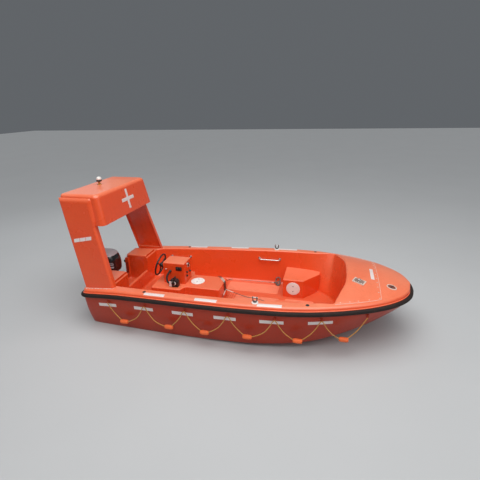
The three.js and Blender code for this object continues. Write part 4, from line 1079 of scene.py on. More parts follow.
def build_oval(hull):
    """The oval deck fitting: a pale ring round a dark cup that a bar crosses."""
    turn = Matrix.Translation(OVAL_PLACE) @ Matrix.Rotation(OVAL_TURN, 4, "Z")
    ring = [
        (1.0, -0.004), (1.0, 0.0045), (0.97, 0.0072), (0.89, 0.0088), (0.82, 0.0082), (0.79, 0.006),
        (0.78, 0.001), (0.78, -0.004),
    ]
    cup = [(0.79, -0.003), (0.79, 0.002), (0.45, 0.0026)]
    ring, cup = (np.stack([oval_ring(*level) for level in levels]) for levels in (ring, cup))
    ring = follow_deck(placed(ring_body(ring), turn), hull)
    make("deck_ring", ring, "pale ring", stands_for="deck_fitting")
    make("deck_ring_cup", follow_deck(placed(loft(cup), turn), hull), "plug")
    reach = np.linspace(-0.038, 0.038, 12)[:, None]
    bar = tube(reach * (math.cos(1.2), math.sin(1.2), 0) + (0, 0, 0.0055), 0.0042, 12, UP)
    make("deck_ring_bar", follow_deck(placed(bar, turn), hull), "dark steel")


def build_drains(hull):
    """Small black fittings let into the gunwale."""
    profile = [(0.022, -0.002), (0.022, 0.002), (0.018, 0.0034), (0.011, 0.0034), (0.01, 0.001)]
    drain = turned(profile, sides=28)
    x = at(np.array([1.008, 3.175]))
    places = deck_point(x, line("half", x) - 0.07, hull)
    make("gunwale_drains", both_sides(copies(drain, places, (0, 0.1, 1))), "black")


def build_deck_fittings(hull):
    """The mooring fitting, the oval fitting and the gunwale's small fittings."""
    build_mooring(hull)
    build_oval(hull)
    build_drains(hull)


# Arch

ARCH_FOOT_AFT, ARCH_FOOT_FRONT, ARCH_FOOT_Z = 0.062, 0.515, 0.64
ARCH_LEAN, ARCH_FRONT_LEAN = 0.25, 0.262
ARCH_OUTER_FOOT, ARCH_OUTER_TOP = 0.8, 0.685
ARCH_THICK = 0.08
ARCH_AFT_CORNER, ARCH_FRONT_CORNER = 0.026, 0.034
ARCH_LIP = 0.012
END_THICK = 0.028
CAP_BOTTOM, CAP_TOP = 1.49, 1.912
CAP_FRONT, CAP_LEAN = 0.43, 0.2
END_FOOT, END_BEND, END_RISE, END_DRAW = 1.47, 1.8, 0.065, 0.024
LIGHT_STATION = -0.048
CROSS_Z = 1.704

# The panel over each end of the cap. Columns: height, its front edge's station and corner radius.
END_FRONT = np.array([
    [1.47, 0.2975, 0.034], [1.505, 0.302, 0.036], [1.54, 0.303, 0.04], [1.66, 0.296, 0.062],
    [1.8, 0.285, 0.085], [1.84, 0.277, 0.085], [1.865, 0.262, 0.085],
])


def arch_outer(z):
    """Half breadth of the arch's outer face at a height."""
    share = (z - ARCH_FOOT_Z) / (CAP_TOP - ARCH_FOOT_Z)
    return ARCH_OUTER_FOOT + share * (ARCH_OUTER_TOP - ARCH_OUTER_FOOT)


def arch_aft(z):
    """The aft edge's x at a height."""
    return at(ARCH_FOOT_AFT) - ARCH_LEAN * (z - ARCH_FOOT_Z)


def arch_front(z):
    """The leg's front edge's x at a height."""
    return at(ARCH_FOOT_FRONT) - ARCH_FRONT_LEAN * (z - ARCH_FOOT_Z)


def cap_front(z):
    """The cap's front face's x at a height."""
    return at(CAP_FRONT) - CAP_LEAN * (z - CAP_BOTTOM)


def leg_ring(z, front, thick, draw=0.0, corner=ARCH_FRONT_CORNER):
    """A level of the leg: a flat outer face between two arcs. Draw moves the outer face inwards."""
    small, aft = ARCH_AFT_CORNER, arch_aft(z)
    a = np.linspace(np.pi / 2, 0, 6)
    b = np.linspace(0, math.acos(max(0.0, 1 - (thick - 0.001) / corner)), 12)
    behind = np.stack([aft + small * (1 - np.sin(a)), small * (1 - np.cos(a))], -1)
    ahead = np.stack([front - corner * (1 - np.sin(b)), corner * (1 - np.cos(b))], -1)
    inner = [[ahead[-1, 0] - 0.001, thick], [aft + 0.003, thick], [aft, thick - 0.003]]
    plan = np.concatenate([behind, ahead, inner])
    return flat(np.stack([plan[:, 0], arch_outer(z) - np.maximum(plan[:, 1], draw)], -1), z)


def arch_leg(hull):
    """The port leg: a channel that is open inboard, and the panel that runs up over the cap's end."""
    heights = np.linspace(STERN_SHEER - 0.02, CAP_BOTTOM - GAP, 8)
    body = mesh_object("leg", loft([leg_ring(z, arch_front(z), ARCH_THICK) for z in heights]))
    ease = np.linspace(0, 1, 9)[1:]
    heights = np.concatenate([np.linspace(END_FOOT, END_BEND, 18), END_BEND + END_RISE * ease])
    draws = np.concatenate([np.zeros(18), END_DRAW * ease ** 2.4])
    fronts, corners = read_off(END_FRONT, heights)
    thick = np.full(len(heights), END_THICK)
    levels = zip(heights, at(fronts), thick, draws, corners)
    carve(body, loft([leg_ring(*level) for level in levels]), "UNION")
    rings = []
    for z, shrink in ((0.648, 0.006), (0.66, 0.0), (1.1, 0.0), (CAP_BOTTOM + 0.02, 0.0)):
        corners = rectangle(arch_aft(z) + ARCH_LIP, arch_front(z) - ARCH_LIP, 0.042, 0.2)
        plan = inset(rounded_outline(corners, (0.016, 0.016, 0.004, 0.004)), shrink)
        rings.append(flat(plan * (1, -1) + (0, arch_outer(z)), z))
    carve(body, loft(rings), "DIFFERENCE")
    carve(body, loft(deck_rings(hull, 160, GAP, 0.0)), "DIFFERENCE")
    return taken(body)


def taken(piece):
    """The points and faces of a mesh object, which is then removed."""
    mesh = piece.data
    points = np.empty(len(mesh.vertices) * 3)
    mesh.vertices.foreach_get("co", points)
    shape = points.reshape(-1, 3), [tuple(p.vertices) for p in mesh.polygons]
    bpy.data.objects.remove(piece)
    return shape


def cap_rings():
    """Rings of the cap: a plan with rounded front corners that a quarter circle closes at the top."""
    radius = 0.05
    levels = [(CAP_BOTTOM, 0.006), (CAP_BOTTOM + 0.002, 0.002), (CAP_BOTTOM + 0.007, 0.0), (1.7, 0.0)]
    for a in np.linspace(0, np.pi / 2, 10):
        levels.append((CAP_TOP - radius + radius * math.sin(a), radius * (1 - math.cos(a))))
    rings = []
    for z, shrink in levels:
        half = arch_outer(z) - END_THICK - GAP
        corners = rectangle(arch_aft(z), cap_front(z), -half, half)
        rings.append(flat(inset(rounded_outline(corners, (0.052, 0.075, 0.075, 0.052), 12), shrink), z))
    return rings


def foot_bead(hull):
    """A rough bead of sealant round the outer side of the port foot."""
    ring = leg_ring(0.6, arch_front(0.6), ARCH_THICK)[2:17]
    path = even(np.column_stack([ring[:, 0], ring[:, 1] + 0.001, 0 * ring[:, 0]]), 90)
    s = lengths(path)
    path = deck_point(path[:, 0], path[:, 1], hull, 0.001)
    radius = 0.003 + 0.0012 * np.sin(s * 61.0) * np.sin(s * 23.0 + 1.0)
    return tube(path, radius, 8, UP)


def build_arch(hull):
    """Both legs, the cap, and the screws and sealant along each foot."""
    port = arch_leg(hull)
    make("arch_side_port", port, "gelcoat", stands_for="arch_leg_port", angle=30)
    make("arch_side_starboard", mirrored(port), "gelcoat", stands_for="arch_leg_starboard", angle=30)
    make("arch_top", loft(cap_rings()), "gelcoat", stands_for="arch_cap", angle=30)
    x = np.linspace(arch_aft(0.6) + 0.03, arch_front(0.6) - 0.1, 8)
    places = deck_point(x, arch_outer(0.6) + 0.012, hull, 0.0004)
    head = turned([(0.007, 0), (0.007, 0.0015), (0.005, 0.0035), (0.002, 0.0042)], sides=14)
    screws = copies(head, places, (0, 0.1, 1))
    make("arch_foot_sealant", both_sides(screws, foot_bead(hull)), "sealant")


def build_light():
    """The all-round light: an amber stem on its base, a black collar and a white dome."""
    base = (at(LIGHT_STATION), 0, CAP_TOP + GAP)
    stem = [
        (0.033, 0), (0.034, 0.003), (0.032, 0.0065), (0.018, 0.01), (0.0165, 0.018), (0.0165, 0.042),
        (0.02, 0.046),
    ]
    make("light_stem_tube", turned(stem, base), "amber", stands_for="light_stem")
    collar = [(0.03, 0.046), (0.039, 0.049), (0.04, 0.052), (0.04, 0.071), (0.037, 0.074)]
    make("light_collar", turned(collar, base), "black")
    a = np.radians(np.linspace(0, 86, 12))
    dome = [(0.036, 0.0745), (0.038, 0.08), (0.038, 0.086)]
    dome += [(0.038 * math.cos(t) ** 0.8, 0.086 + 0.034 * math.sin(t)) for t in a]
    make("light_globe", turned(dome, base), "white", stands_for="light_dome")


# Seat box, console and what they carry

SEAT_TOP = 0.44
PLINTH_AFT, PLINTH_FRONT, PLINTH_HALF = 0.82, 1.285, 0.325
SEAT_SHOULDER, SEAT_FRONT, SEAT_HALF = 1.33, 1.86, 0.212
SEAT_HATCH = 1.455
LOCKER_AFT, LOCKER_HALF, LOCKER_HATCH = 2.72, 0.31, 2.88
KEY_STATION, SOCKET_STATION = 1.005, 1.2125
CONTROL_PLACE = (1.165, -0.215)
CONSOLE_AFT, CONSOLE_FRONT, CONSOLE_HALF, CONSOLE_TOP = 0.954, 1.302, 0.136, 0.77
CONSOLE_SIDE = -CONSOLE_HALF - GAP


def build_seat_box():
    """The seat box with its wider plinth: one outline with rounded corners and a rounded top edge."""
    port = [
        (at(PLINTH_AFT), PLINTH_HALF), (at(PLINTH_FRONT), PLINTH_HALF), (at(SEAT_SHOULDER), SEAT_HALF),
        (at(SEAT_FRONT), SEAT_HALF),
    ]
    corners = port + [(x, -y) for x, y in reversed(port)]
    radii = (0.03, 0.025, 0.025, 0.022, 0.022, 0.025, 0.025, 0.03)
    bottom = FLOOR_Z + GAP
    make("seat_moulding", block(corners, radii, bottom, SEAT_TOP, 0.014), "gelcoat", stands_for="seat_box")
    wide = [(x + 0.01 * np.sign(x - at(1.34)), y + 0.01 * np.sign(y)) for x, y in corners]
    make("seat_seal", block(wide, radii, bottom, FLOOR_Z + 0.006, 0.004), "gelcoat")


def build_gauge(centre):
    """The round gauge: a steel bezel round a black dial with pale ticks and a needle."""
    bezel = [
        (0.038, 0), (0.038, 0.009), (0.036, 0.0115), (0.033, 0.0125), (0.031, 0.0115), (0.0305, 0.0095),
    ]
    make("gauge_bezel", turned(bezel, centre, FORWARD), "steel", stands_for="gauge")
    make("gauge_dial", turned([(0.0302, 0.0085), (0.0302, 0.0105)], centre, FORWARD), "black")
    marks = []
    for a in np.radians(np.arange(-130, 131, 26)):
        ray = np.array([0, -math.sin(a), math.cos(a)])
        start = centre + ray * 0.021 + (0.0108, 0, 0)
        marks.append(tube([start, start + ray * 0.006], 0.0008, 5, FORWARD))
    needle = [centre + (0.0112, -0.004, -0.003), centre + (0.0112, 0.012, 0.017)]
    marks.append(tube(needle, [0.0012, 0.0005], 6, FORWARD))
    make("gauge_marks", merged(*marks), "dial")


def build_console():
    """The console with its gauge, knobs, socket panel and key switch."""
    corners = rectangle(at(CONSOLE_AFT), at(CONSOLE_FRONT), -CONSOLE_HALF, CONSOLE_HALF)
    shape = block(corners, 0.014, SEAT_TOP + GAP, CONSOLE_TOP, 0.014)
    make("console_moulding", shape, "gelcoat", stands_for="console")
    front = at(CONSOLE_FRONT) + GAP
    build_gauge(np.array([front, 0.01, 0.7]))
    knob = [(0.017, 0), (0.017, 0.004), (0.012, 0.006), (0.012, 0.018), (0.01, 0.021)]
    places = [(front, -0.052, 0.605), (front, -0.052, 0.545), (front, 0.062, 0.575)]
    make("console_knobs", copies(turned(knob, sides=24), places, FORWARD), "black")
    build_socket_panel()
    place = (at(KEY_STATION), CONSOLE_SIDE, 0.665)
    key = turned([(0.012, 0), (0.012, 0.004), (0.009, 0.007), (0.008, 0.012)], place, STARBOARD, 24)
    bow = block(rectangle(-0.003, 0.003, -0.009, 0.009), 0.002, 0.012, 0.03, 0.002)
    make("key_switch", merged(key, stood_up(bow, place)), "steel")


def build_socket_panel():
    """The black socket panel: a plate with two capped sockets."""
    plate = block(rectangle(-0.0475, 0.0475, -0.03, 0.03), 0.008, 0, 0.006, 0.002)
    middle = (at(SOCKET_STATION), CONSOLE_SIDE, 0.685)
    cap = turned([(0.019, 0.006), (0.019, 0.012), (0.016, 0.0155), (0.008, 0.0162)], sides=32)
    places = [np.add(middle, (reach, 0, 0)) for reach in (-0.0235, 0.0235)]
    shape = merged(stood_up(plate, middle), copies(cap, places, STARBOARD))
    make("socket_plate", shape, "black", stands_for="socket_panel")


def build_control_box():
    """The remote control box with a steel rim, its lever and grip."""
    place = Matrix.Translation((at(CONTROL_PLACE[0]), CONTROL_PLACE[1], SEAT_TOP + GAP))
    corners = [(-0.068, 0), (0.068, 0), (0.068, 0.08), (0.045, 0.112), (-0.045, 0.112), (-0.068, 0.08)]
    outline = rounded_outline(corners, (0.004, 0.004, 0.012, 0.018, 0.018, 0.012), 5)
    levels = [(0.035, 0.004), (0.031, 0), (-0.035, 0), (-0.042, 0.003), (-0.045, 0.008)]
    case = loft([upright(inset(outline, d), y) for y, d in levels])
    make("control_case", placed(case, place), "black", stands_for="control_box")
    ring = [(0.032, 0.0), (0.032, 0.003), (0.029, 0.005), (0.0265, 0.005)]
    ring = turned(ring, (0.01, -0.0445, 0.062), STARBOARD, 40)
    plate = block(rectangle(-0.066, -0.025, 0.006, 0.09), 0.006, 0, 0.0035, 0.001)
    marks = merged(ring, stood_up(plate, (0, -0.0448, 0)))
    make("control_plate", placed(marks, place), "dial")
    hub = [(0.024, 0.0), (0.026, 0.003), (0.026, 0.013), (0.021, 0.0168)]
    hub = turned(hub, (0, -0.045 - GAP, 0.062), STARBOARD, 36)
    arm = [(0, -0.056, 0.062), (0.012, -0.057, 0.1), (0.03, -0.056, 0.156)]
    swell = 0.0105 + 0.0025 * np.sin(np.linspace(0.15, np.pi - 0.15, 12))
    grip = tube(np.linspace((0.03, -0.075, 0.16), (0.03, -0.02, 0.16), 12), swell, 18, UP)
    lever = merged(hub, tube(arm, [0.0095, 0.008, 0.0075], 14), grip)
    make("control_lever", placed(lever, place), "black", stands_for="throttle_lever")


# The control cable's hose. Columns: station, y and z in millimetres.
HOSE_ROUTE = np.array([
    [1075, -136.4, 640], [1072, -170, 636], [1052, -196, 600], [1040, -206, 550],
    [1048, -212, 505], [1070, -215, 482], [1096.6, -215, 478],
]) / 1000 - np.array([MIDSHIP, 0, 0])


def build_hose():
    """The corrugated hose: its radius is a wave along its run, with a collar at each end."""
    path = even(spline(HOSE_ROUTE, 24), 300)
    s = lengths(path)
    radius = 0.0138 + 0.0014 * np.cos(2 * np.pi * s / 0.008)
    hose = tube(path, radius, 16, (0.3, 0.1, 0.2))
    collar = [(0.019, 0.0), (0.019, 0.01), (0.016, 0.014)]
    ends = turned(collar, path[0], path[3] - path[0], 24)
    make("control_cable_hose", merged(hose, ends), "hose", stands_for="control_hose")


# Steering wheel

WHEEL_TILT, WHEEL_RADIUS, WHEEL_Z = math.radians(15), 0.165, 0.64


def build_helm():
    """The wheel's boss on the console, and the wheel: a padded rim, three spokes and a hub."""
    axis = np.array([-math.cos(WHEEL_TILT), 0, math.sin(WHEEL_TILT)])
    upward = np.cross(axis, PORT)
    boss = np.array([at(CONSOLE_AFT) - GAP, 0, WHEEL_Z])

    def ray(angle):
        """The way from the wheel's axis at an angle: its cosine to port, its sine upward."""
        return np.multiply.outer(np.cos(angle), PORT) + np.multiply.outer(np.sin(angle), upward)

    rings = [
        boss + axis * reach + radius * ray(turns(48))
        for reach, radius in ((0.0, 0.048), (0.03, 0.047), (0.062, 0.04), (0.069, 0.036))
    ]
    rings[0] = rings[0] - axis * ((rings[0][:, 0] - boss[0]) / axis[0])[:, None]
    make("helm_boss", loft(rings), "black", stands_for="steering_boss")
    start = boss + axis * 0.0705
    centre = start + axis * 0.038
    turn, b = turns(216), turns(16)[:, None]
    grip = (0.0125 + 0.0006 * np.cos(36 * turn))[:, None, None]
    rim = centre + ray(turn)[:, None] * (WHEEL_RADIUS + grip * np.cos(b)) + axis * grip * np.sin(b)
    hub = [(0.03, 0.0), (0.034, 0.006), (0.034, 0.034), (0.028, 0.045), (0.014, 0.049)]
    parts = [ring_body(rim), turned(hub, start, axis, 40)]
    reach = np.linspace(0.02, 0.158, 12)[:, None]
    for angle in (90, 210, 330):
        path = centre + ray(math.radians(angle)) * reach - axis * 0.01 * np.sin(np.pi * reach / WHEEL_RADIUS)
        parts.append(tube(path, np.linspace(0.0105, 0.0075, 12), 12, axis))
    make("helm_ring", merged(*parts), "black", body="helm_wheel", stands_for="steering_wheel")


# Forward lockers, hatches and handrails

def build_lockers(hull):
    """The lockers: rounded blocks that end in the cockpit's wall."""
    space = cockpit_space(hull, -GAP, FLOOR_Z + GAP)
    corners = [(LOCKER_AFT, LOCKER_HALF), (3.035, LOCKER_HALF), (3.262, 0.6), (3.262, 1), (LOCKER_AFT, 1)]
    corners = [(at(station), y) for station, y in corners]
    shape = block(corners, (0.016, 0.02, 0.016, 0.016, 0.016), FLOOR_Z - 0.03, SEAT_TOP, 0.012)
    for side, label in SIDES:
        piece = mesh_object("locker_" + label + "_moulding", shape if side > 0 else mirrored(shape))
        carve(piece, space, "INTERSECT")
        finished(piece, "gelcoat", stands_for="locker_" + label)


HATCH_FLANGE = (
    (0.104, 0), (0.104, 0.005), (0.101, 0.0072), (0.088, 0.0076), (0.086, 0.005), (0.0855, 0.004),
)
HATCH_LID = ((0.084, 0.002), (0.084, 0.0085), (0.081, 0.0108), (0.05, 0.0116), (0.01, 0.012))


def build_hatches():
    """The three round hatches: a flange, a groove and a slightly domed lid with two finger holes."""
    sites = [("hatch_seat", (at(SEAT_HATCH), 0, SEAT_TOP + GAP), UP, PORT)]
    for side, label in SIDES:
        place = (at(LOCKER_HATCH), (LOCKER_HALF - GAP) * side, 0.3)
        sites.append(("hatch_locker_" + label, place, (0, -side, 0), UP))
    hole = turned([(0.0075, 0), (0.0075, 0.0026), (0.006, 0.0026)], sides=20)
    for name, place, direction, along in sites:
        lid = merged(*(turned(part, place, direction, 64) for part in (HATCH_FLANGE, HATCH_LID)))
        make(name + "_lid", lid, "white", stands_for=name)
        face = np.array(place) + np.array(direction) * 0.0095
        holes = copies(hole, [face - np.array(along) * 0.042, face + np.array(along) * 0.042], direction)
        make(name + "_holes", holes, "black")


def wall_half(x, z):
    """Half breadth of the cockpit's wall at a height between the floor and the rim."""
    rim, base = cockpit_outlines(400)
    port = slice(40, 360)
    floor_half = np.interp(x, base[port, 0], base[port, 1])
    rim_half = np.interp(x, rim[port, 0], rim[port, 1])
    t = (z - FLOOR_Z) / (line("sheer", x) - FLOOR_Z)
    return float(floor_half + t * (rim_half - floor_half))


def build_handrails():
    """Bent tube rails on round flanges with screws."""
    flange = turned([(0.024, -0.004), (0.024, 0.0015), (0.021, 0.004), (0.013, 0.0055)], sides=32)
    screw = turned([(0.0035, 0), (0.0025, 0.002)], sides=10)
    for place, stations in (("aft", (0.715, 1.05)), ("forward", (2.262, 2.602))):
        z = float(line("sheer", at(stations[0]))) - 0.135
        ends = np.array([[at(s), wall_half(at(s), z), z] for s in stations])
        bars = ends - (0, 0.048, 0)
        feet = ends + (0, 0.004, 0)
        shapes = [tube(arc_path([feet[0], *bars, feet[1]], 0.028), 0.0108, 20, UP)]
        shapes.append(copies(flange, ends - (0, 0.001, 0), STARBOARD))
        for dx, dz in ((0, 0.018), (0.0155, -0.009), (-0.0155, -0.009)):
            shapes.append(copies(screw, ends + (dx, -0.004, dz), STARBOARD))
        port = merged(*shapes)
        for side, label in SIDES:
            name = f"{place}_{label}"
            make(
                "rail_" + name, port if side > 0 else mirrored(port), "steel",
                stands_for="handrail_" + name,
            )


LIFT_STATION, LIFT_Y = 2.541, 0.888


def lifting_shackle(top, tilt):
    """A shackle that stands on its bow, its ears up and a pin through them, along the boat."""
    a = np.linspace(0, np.pi, 21)
    bow = top + np.stack([-0.026 * np.cos(a), 0 * a, 0.03 - 0.026 * np.sin(a)], -1)
    ears = [top + (reach, 0, 0.062) for reach in (-0.026, 0.026)]
    shapes = [tube([ears[0], *bow, ears[1]], 0.0068, 16)]
    eye = [(0.006, 0.0), (0.0115, 0.001), (0.0115, 0.0125), (0.006, 0.0135)]
    for s, ear in zip((-1, 1), ears):
        shapes.append(turned(eye, ear - (s * 0.0068, 0, 0), (s, 0, 0), 24))
    stud = [(0.014, 0.002), (0.014, 0.007), (0.01, 0.01), (0.009, 0.016), (0.006, 0.018)]
    return merged(*shapes, turned(stud, top, tilt, 20)), ears


def build_lifting_eyes():
    """White pads on the gunwale, each with a bright plate, a dark shackle and its pin."""
    x = at(LIFT_STATION)
    for side, label in SIDES:
        tilt = np.array([-0.03, side * 0.045, 1.0])
        base = np.array([x, side * LIFT_Y, float(line("sheer", x))])
        pad = turned([(0.042, -0.008), (0.042, 0.006), (0.04, 0.01), (0.036, 0.012)], base, tilt)
        make("lift_base_" + label, pad, "white", stands_for="lift_pad_" + label)
        top = base + tilt * (0.012 + GAP)
        shackle, ears = lifting_shackle(top, tilt)
        make("lift_shackle_" + label, shackle, "dark steel", stands_for="lift_eye_" + label)
        plate = turned([(0.024, 0.0), (0.024, 0.0022), (0.022, 0.003)], top, tilt, 40)
        start, end = ears[0] - (0.01, 0, 0), ears[1] + (0.012, 0, 0)
        pin = turned(
            [(0.0052, 0), (0.0052, 0.07), (0.0095, 0.07), (0.0095, 0.0735)], start, end - start, 18,
        )
        make("lift_pin_" + label, merged(plate, pin), "steel")


# Grab lines

EYE_STATIONS = (0.463, 1.032, 1.618, 2.206, 2.798, 3.35, 3.88)
EYE_DROP = 0.15
EYE_REACH = 0.022
BIGHT_SAG = 0.275

# Where each float sits along its bight, as a share of the way from its aft eye
FLOAT_SHARES = (0.42, 0.6, 0.46, 0.42, 0.5, 0.5)


def table_line(column, x):
    """A column of the hull's table with straight lines between its rows, as the model has it."""
    return np.interp(x, at(HULL_LINES[:, 0]), HULL_LINES[:, column])


def eye_place(station, side):
    """Where a grab line's eye stands under the fender."""
    x = at(station)
    z = STERN_SHEER + table_line(5, x) - EYE_DROP
    return np.array([x, side * table_line(1, x), z])


def grab_line_points(side):
    """The rope's route: it hangs from eye to eye, and drops by a power of the way to mid-bight."""
    hung = [eye_place(s, side) + np.array([0, side * EYE_REACH, -0.018]) for s in EYE_STATIONS]
    points = [hung[0]]
    for start, end, middle in zip(hung[:-1], hung[1:], FLOAT_SHARES):
        for t in (0.12, 0.27, middle, 0.75, 0.88):
            point = start + (end - start) * t
            point[2] -= BIGHT_SAG * (1 - abs(2 * t - 1) ** 1.7)
            points.append(point)
        points.append(end)
    return np.array(points)


def read_all(items, key):
    """One whole number of each of a mesh's items."""
    values = np.empty(len(items), np.int32)
    items.foreach_get(key, values)
    return values


def strand_map(piece, path, sides, radius):
    """A UV map for a tube: distance along it in radii, and turns round it."""
    layer = piece.data.uv_layers.new(name="strand")
    loops = read_all(piece.data.loops, "vertex_index")
    s = lengths(path) / radius
    along = s[np.minimum(loops // sides, len(path) - 1)]
    around = (loops % sides) / sides
    totals = read_all(piece.data.polygons, "loop_total")
    face = np.repeat(np.arange(len(totals)), totals)
    high = np.zeros(len(totals))
    np.maximum.at(high, face, around)
    around = np.where((around == 0) & (high[face] > 0.6), 1.0, around)
    layer.data.foreach_set("uv", np.stack([along, around], -1).astype(np.float32).ravel())


def build_cord(name, points, radius, steps, sides, finish, reference, **facts):
    """A cord through the route's points, as a tube with strands in its own UV map."""
    path = even(spline(points, 12), steps)
    piece = make(name, tube(path, radius, sides, reference), finish, stands_for=facts.pop("stands_for"))
    strand_map(piece, path, sides, radius)
    facts.setdefault("exit", tuple(points[0]))
    return piece


def grab_eye(place, side):
    """An eye that a grab line hangs from: a plate on the topside and a hoop of round bar."""
    plate = block(rectangle(-0.016, 0.016, -0.028, 0.012), 0.006, -0.03, 0.006, 0.002)
    a = np.linspace(0.15, 2 * np.pi - 0.15, 20)
    hoop = np.stack([0 * a, side * (0.014 + 0.01 * np.cos(a)), 0.012 * np.sin(a) - 0.01], -1)
    return merged(stood_up(plate, place, side), tube(place + hoop, 0.003, 8, FORWARD))


def build_grab_lines(sizes):
    """A rope a side with its floats, and the eyes that it hangs from."""
    half = sizes.float_length / 2
    reach = np.linspace(-half, half, 17)
    fullness = np.sqrt(np.clip(1 - (np.abs(reach) / half) ** 3.2, 0, 1))
    swell = sizes.float_diameter / 2 * (0.62 + 0.38 * fullness)
    for side, label in SIDES:
        points = grab_line_points(side)
        floats = [tube(middle + reach[:, None] * FORWARD, swell, 24) for middle in points[3::6]]
        float_piece = make("grab_floats_" + label, merged(*floats), "float")
        build_cord(
            "grab_rope_" + label, points, sizes.rope_diameter / 2, 900, 10, "rope", PORT,
            stands_for="grab_line_" + label, far_end="object", stiffness="limp", lay="hanging",
            with_pieces=[float_piece],
        )
        eyes = [grab_eye(eye_place(station, side), side) for station in EYE_STATIONS]
        # The eyes on the topside share the hull's darker gelcoat: painted shade.
        make("grab_eyes_" + label, merged(*eyes), "hull gelcoat")


# Reflective tapes

TAPE_WIDTH, TAPE_THICK = 0.05, 0.0011
CROSS_Y = 0.035
GUNWALE_TAPES = ((1.026, 1.325), (1.756, 2.055), (2.575, 2.876))
HULL_TAPES = (
    (0.295, 0.575), (0.86, 1.148), (1.429, 1.727), (2.012, 2.306), (2.604, 2.901), (3.19, 3.48),
)
HULL_TAPE_DROP = 0.22


def topside_half(x, z):
    """Half breadth of the topside at a height: the same bulged line as the hull's sections."""
    half, chine, chine_z = line("half", x), line("chine", x), line("chine_z", x)
    joint = line("sheer", x) - JOINT_DROP
    t = np.clip((joint - JOINT_FLANGE - z) / (joint - JOINT_FLANGE - chine_z), 0, 1)
    return half + (chine - half) * t + TOPSIDE_BULGE * (joint - chine_z) * 4 * t * (1 - t)


def strip(top, thick=(0, 0, 0.003)):
    """A thin slab under a grid of points."""
    return slab(top, top - thick)


def gunwale_strips(hull, inward):
    """The strips along the port gunwale, a distance inward from its edge."""
    shapes = []
    for start, end in GUNWALE_TAPES:
        x = at(np.linspace(start, end, 16))[:, None]
        y = line("half", x) - np.linspace(inward, inward + TAPE_WIDTH, 10)
        shapes.append(strip(deck_point(x, y, hull, TAPE_THICK)))
    return merged(*shapes)


def side_strips():
    """The strips along the port topside, and the row across the port arch leg."""
    shapes = []
    for start, end in HULL_TAPES:
        x = at(np.linspace(start, end, 16))[:, None]
        z = line("sheer", x) - HULL_TAPE_DROP + np.linspace(-0.5, 0.5, 6) * TAPE_WIDTH
        top = np.stack([x + 0 * z, topside_half(x, z) + TAPE_THICK, z], -1)
        shapes.append(strip(top, (0, 0.003, 0)))
    for start, end in ((-0.04, 0.048), (0.054, 0.142), (0.148, 0.235)):
        x = at(np.linspace(start, end, 4))[:, None]
        z = 1.25 + 0.19 * (x - at(-0.04)) + np.linspace(0, TAPE_WIDTH, 5)
        top = np.stack([x + 0 * z, arch_outer(z) + TAPE_THICK, z], -1)
        shapes.append(strip(top, (0, 0.003, 0)))
    return shapes


def cap_cross():
    """The cross of plain tape on the cap's front: a twelve-cornered outline on its leaning face."""
    wide, tall, half = 0.165, 0.147, TAPE_WIDTH / 2
    quarter = np.array([(half, tall), (half, half), (wide, half)])
    starboard = np.concatenate([quarter, quarter[::-1] * (1, -1)])
    outline = np.concatenate([starboard, starboard[::-1] * (-1, 1)])
    z = CROSS_Z + outline[:, 1]
    ring = np.column_stack([cap_front(z) + TAPE_THICK, CROSS_Y + outline[:, 0], z])
    return loft([ring - (0.004, 0, 0), ring])


def build_tapes(hull):
    """Reflective tapes: thin slabs that follow the gunwale, the topside, the legs and the cap."""
    strips = [gunwale_strips(hull, 0.034), mirrored(gunwale_strips(hull, 0.013))]
    make("reflective_tapes", merged(both_sides(*side_strips()), *strips), "tape")
    make("cap_cross", cap_cross(), "tape")
    x, y = at(np.linspace(3.945, 3.99, 4))[:, None], np.linspace(-0.16, 0.16, 20)
    make("foredeck_tape", strip(deck_point(x, y, hull, PANEL_THICK + TAPE_THICK)), "tape")


# Cockpit floor

def build_floor():
    """Gritty panels on the cockpit floor, and thin strips across it before the seat box."""
    low, high = FLOOR_Z - 0.002, FLOOR_Z + 0.0032
    shapes = []
    for aft, front, inner, outer in (
        (1.79, 2.63, 0.36, 0.65), (1.79, 2.63, -0.65, -0.36), (2.00, 2.68, -0.22, 0.22),
        (0.56, 1.7, 0.4, 0.6), (0.56, 1.7, -0.6, -0.4), (2.77, 3.2, -0.24, 0.24),
    ):
        shapes.append(block(rectangle(at(aft), at(front), inner, outer), 0.03, low, high, 0.002))
    for station in (1.903, 1.93, 1.972):
        corners = rectangle(at(station) - 0.004, at(station) + 0.004, -0.3, 0.3)
        shapes.append(block(corners, 0.003, low, FLOOR_Z + 0.0035, 0.0015))
    make("floor_grit", merged(*shapes), "grit")


# Lifting bridle: four wire legs from a link that hangs before the seat box

WIRE_RADIUS, SLEEVE_RADIUS, SLEEVE_LENGTH = 0.0045, 0.008, 0.04

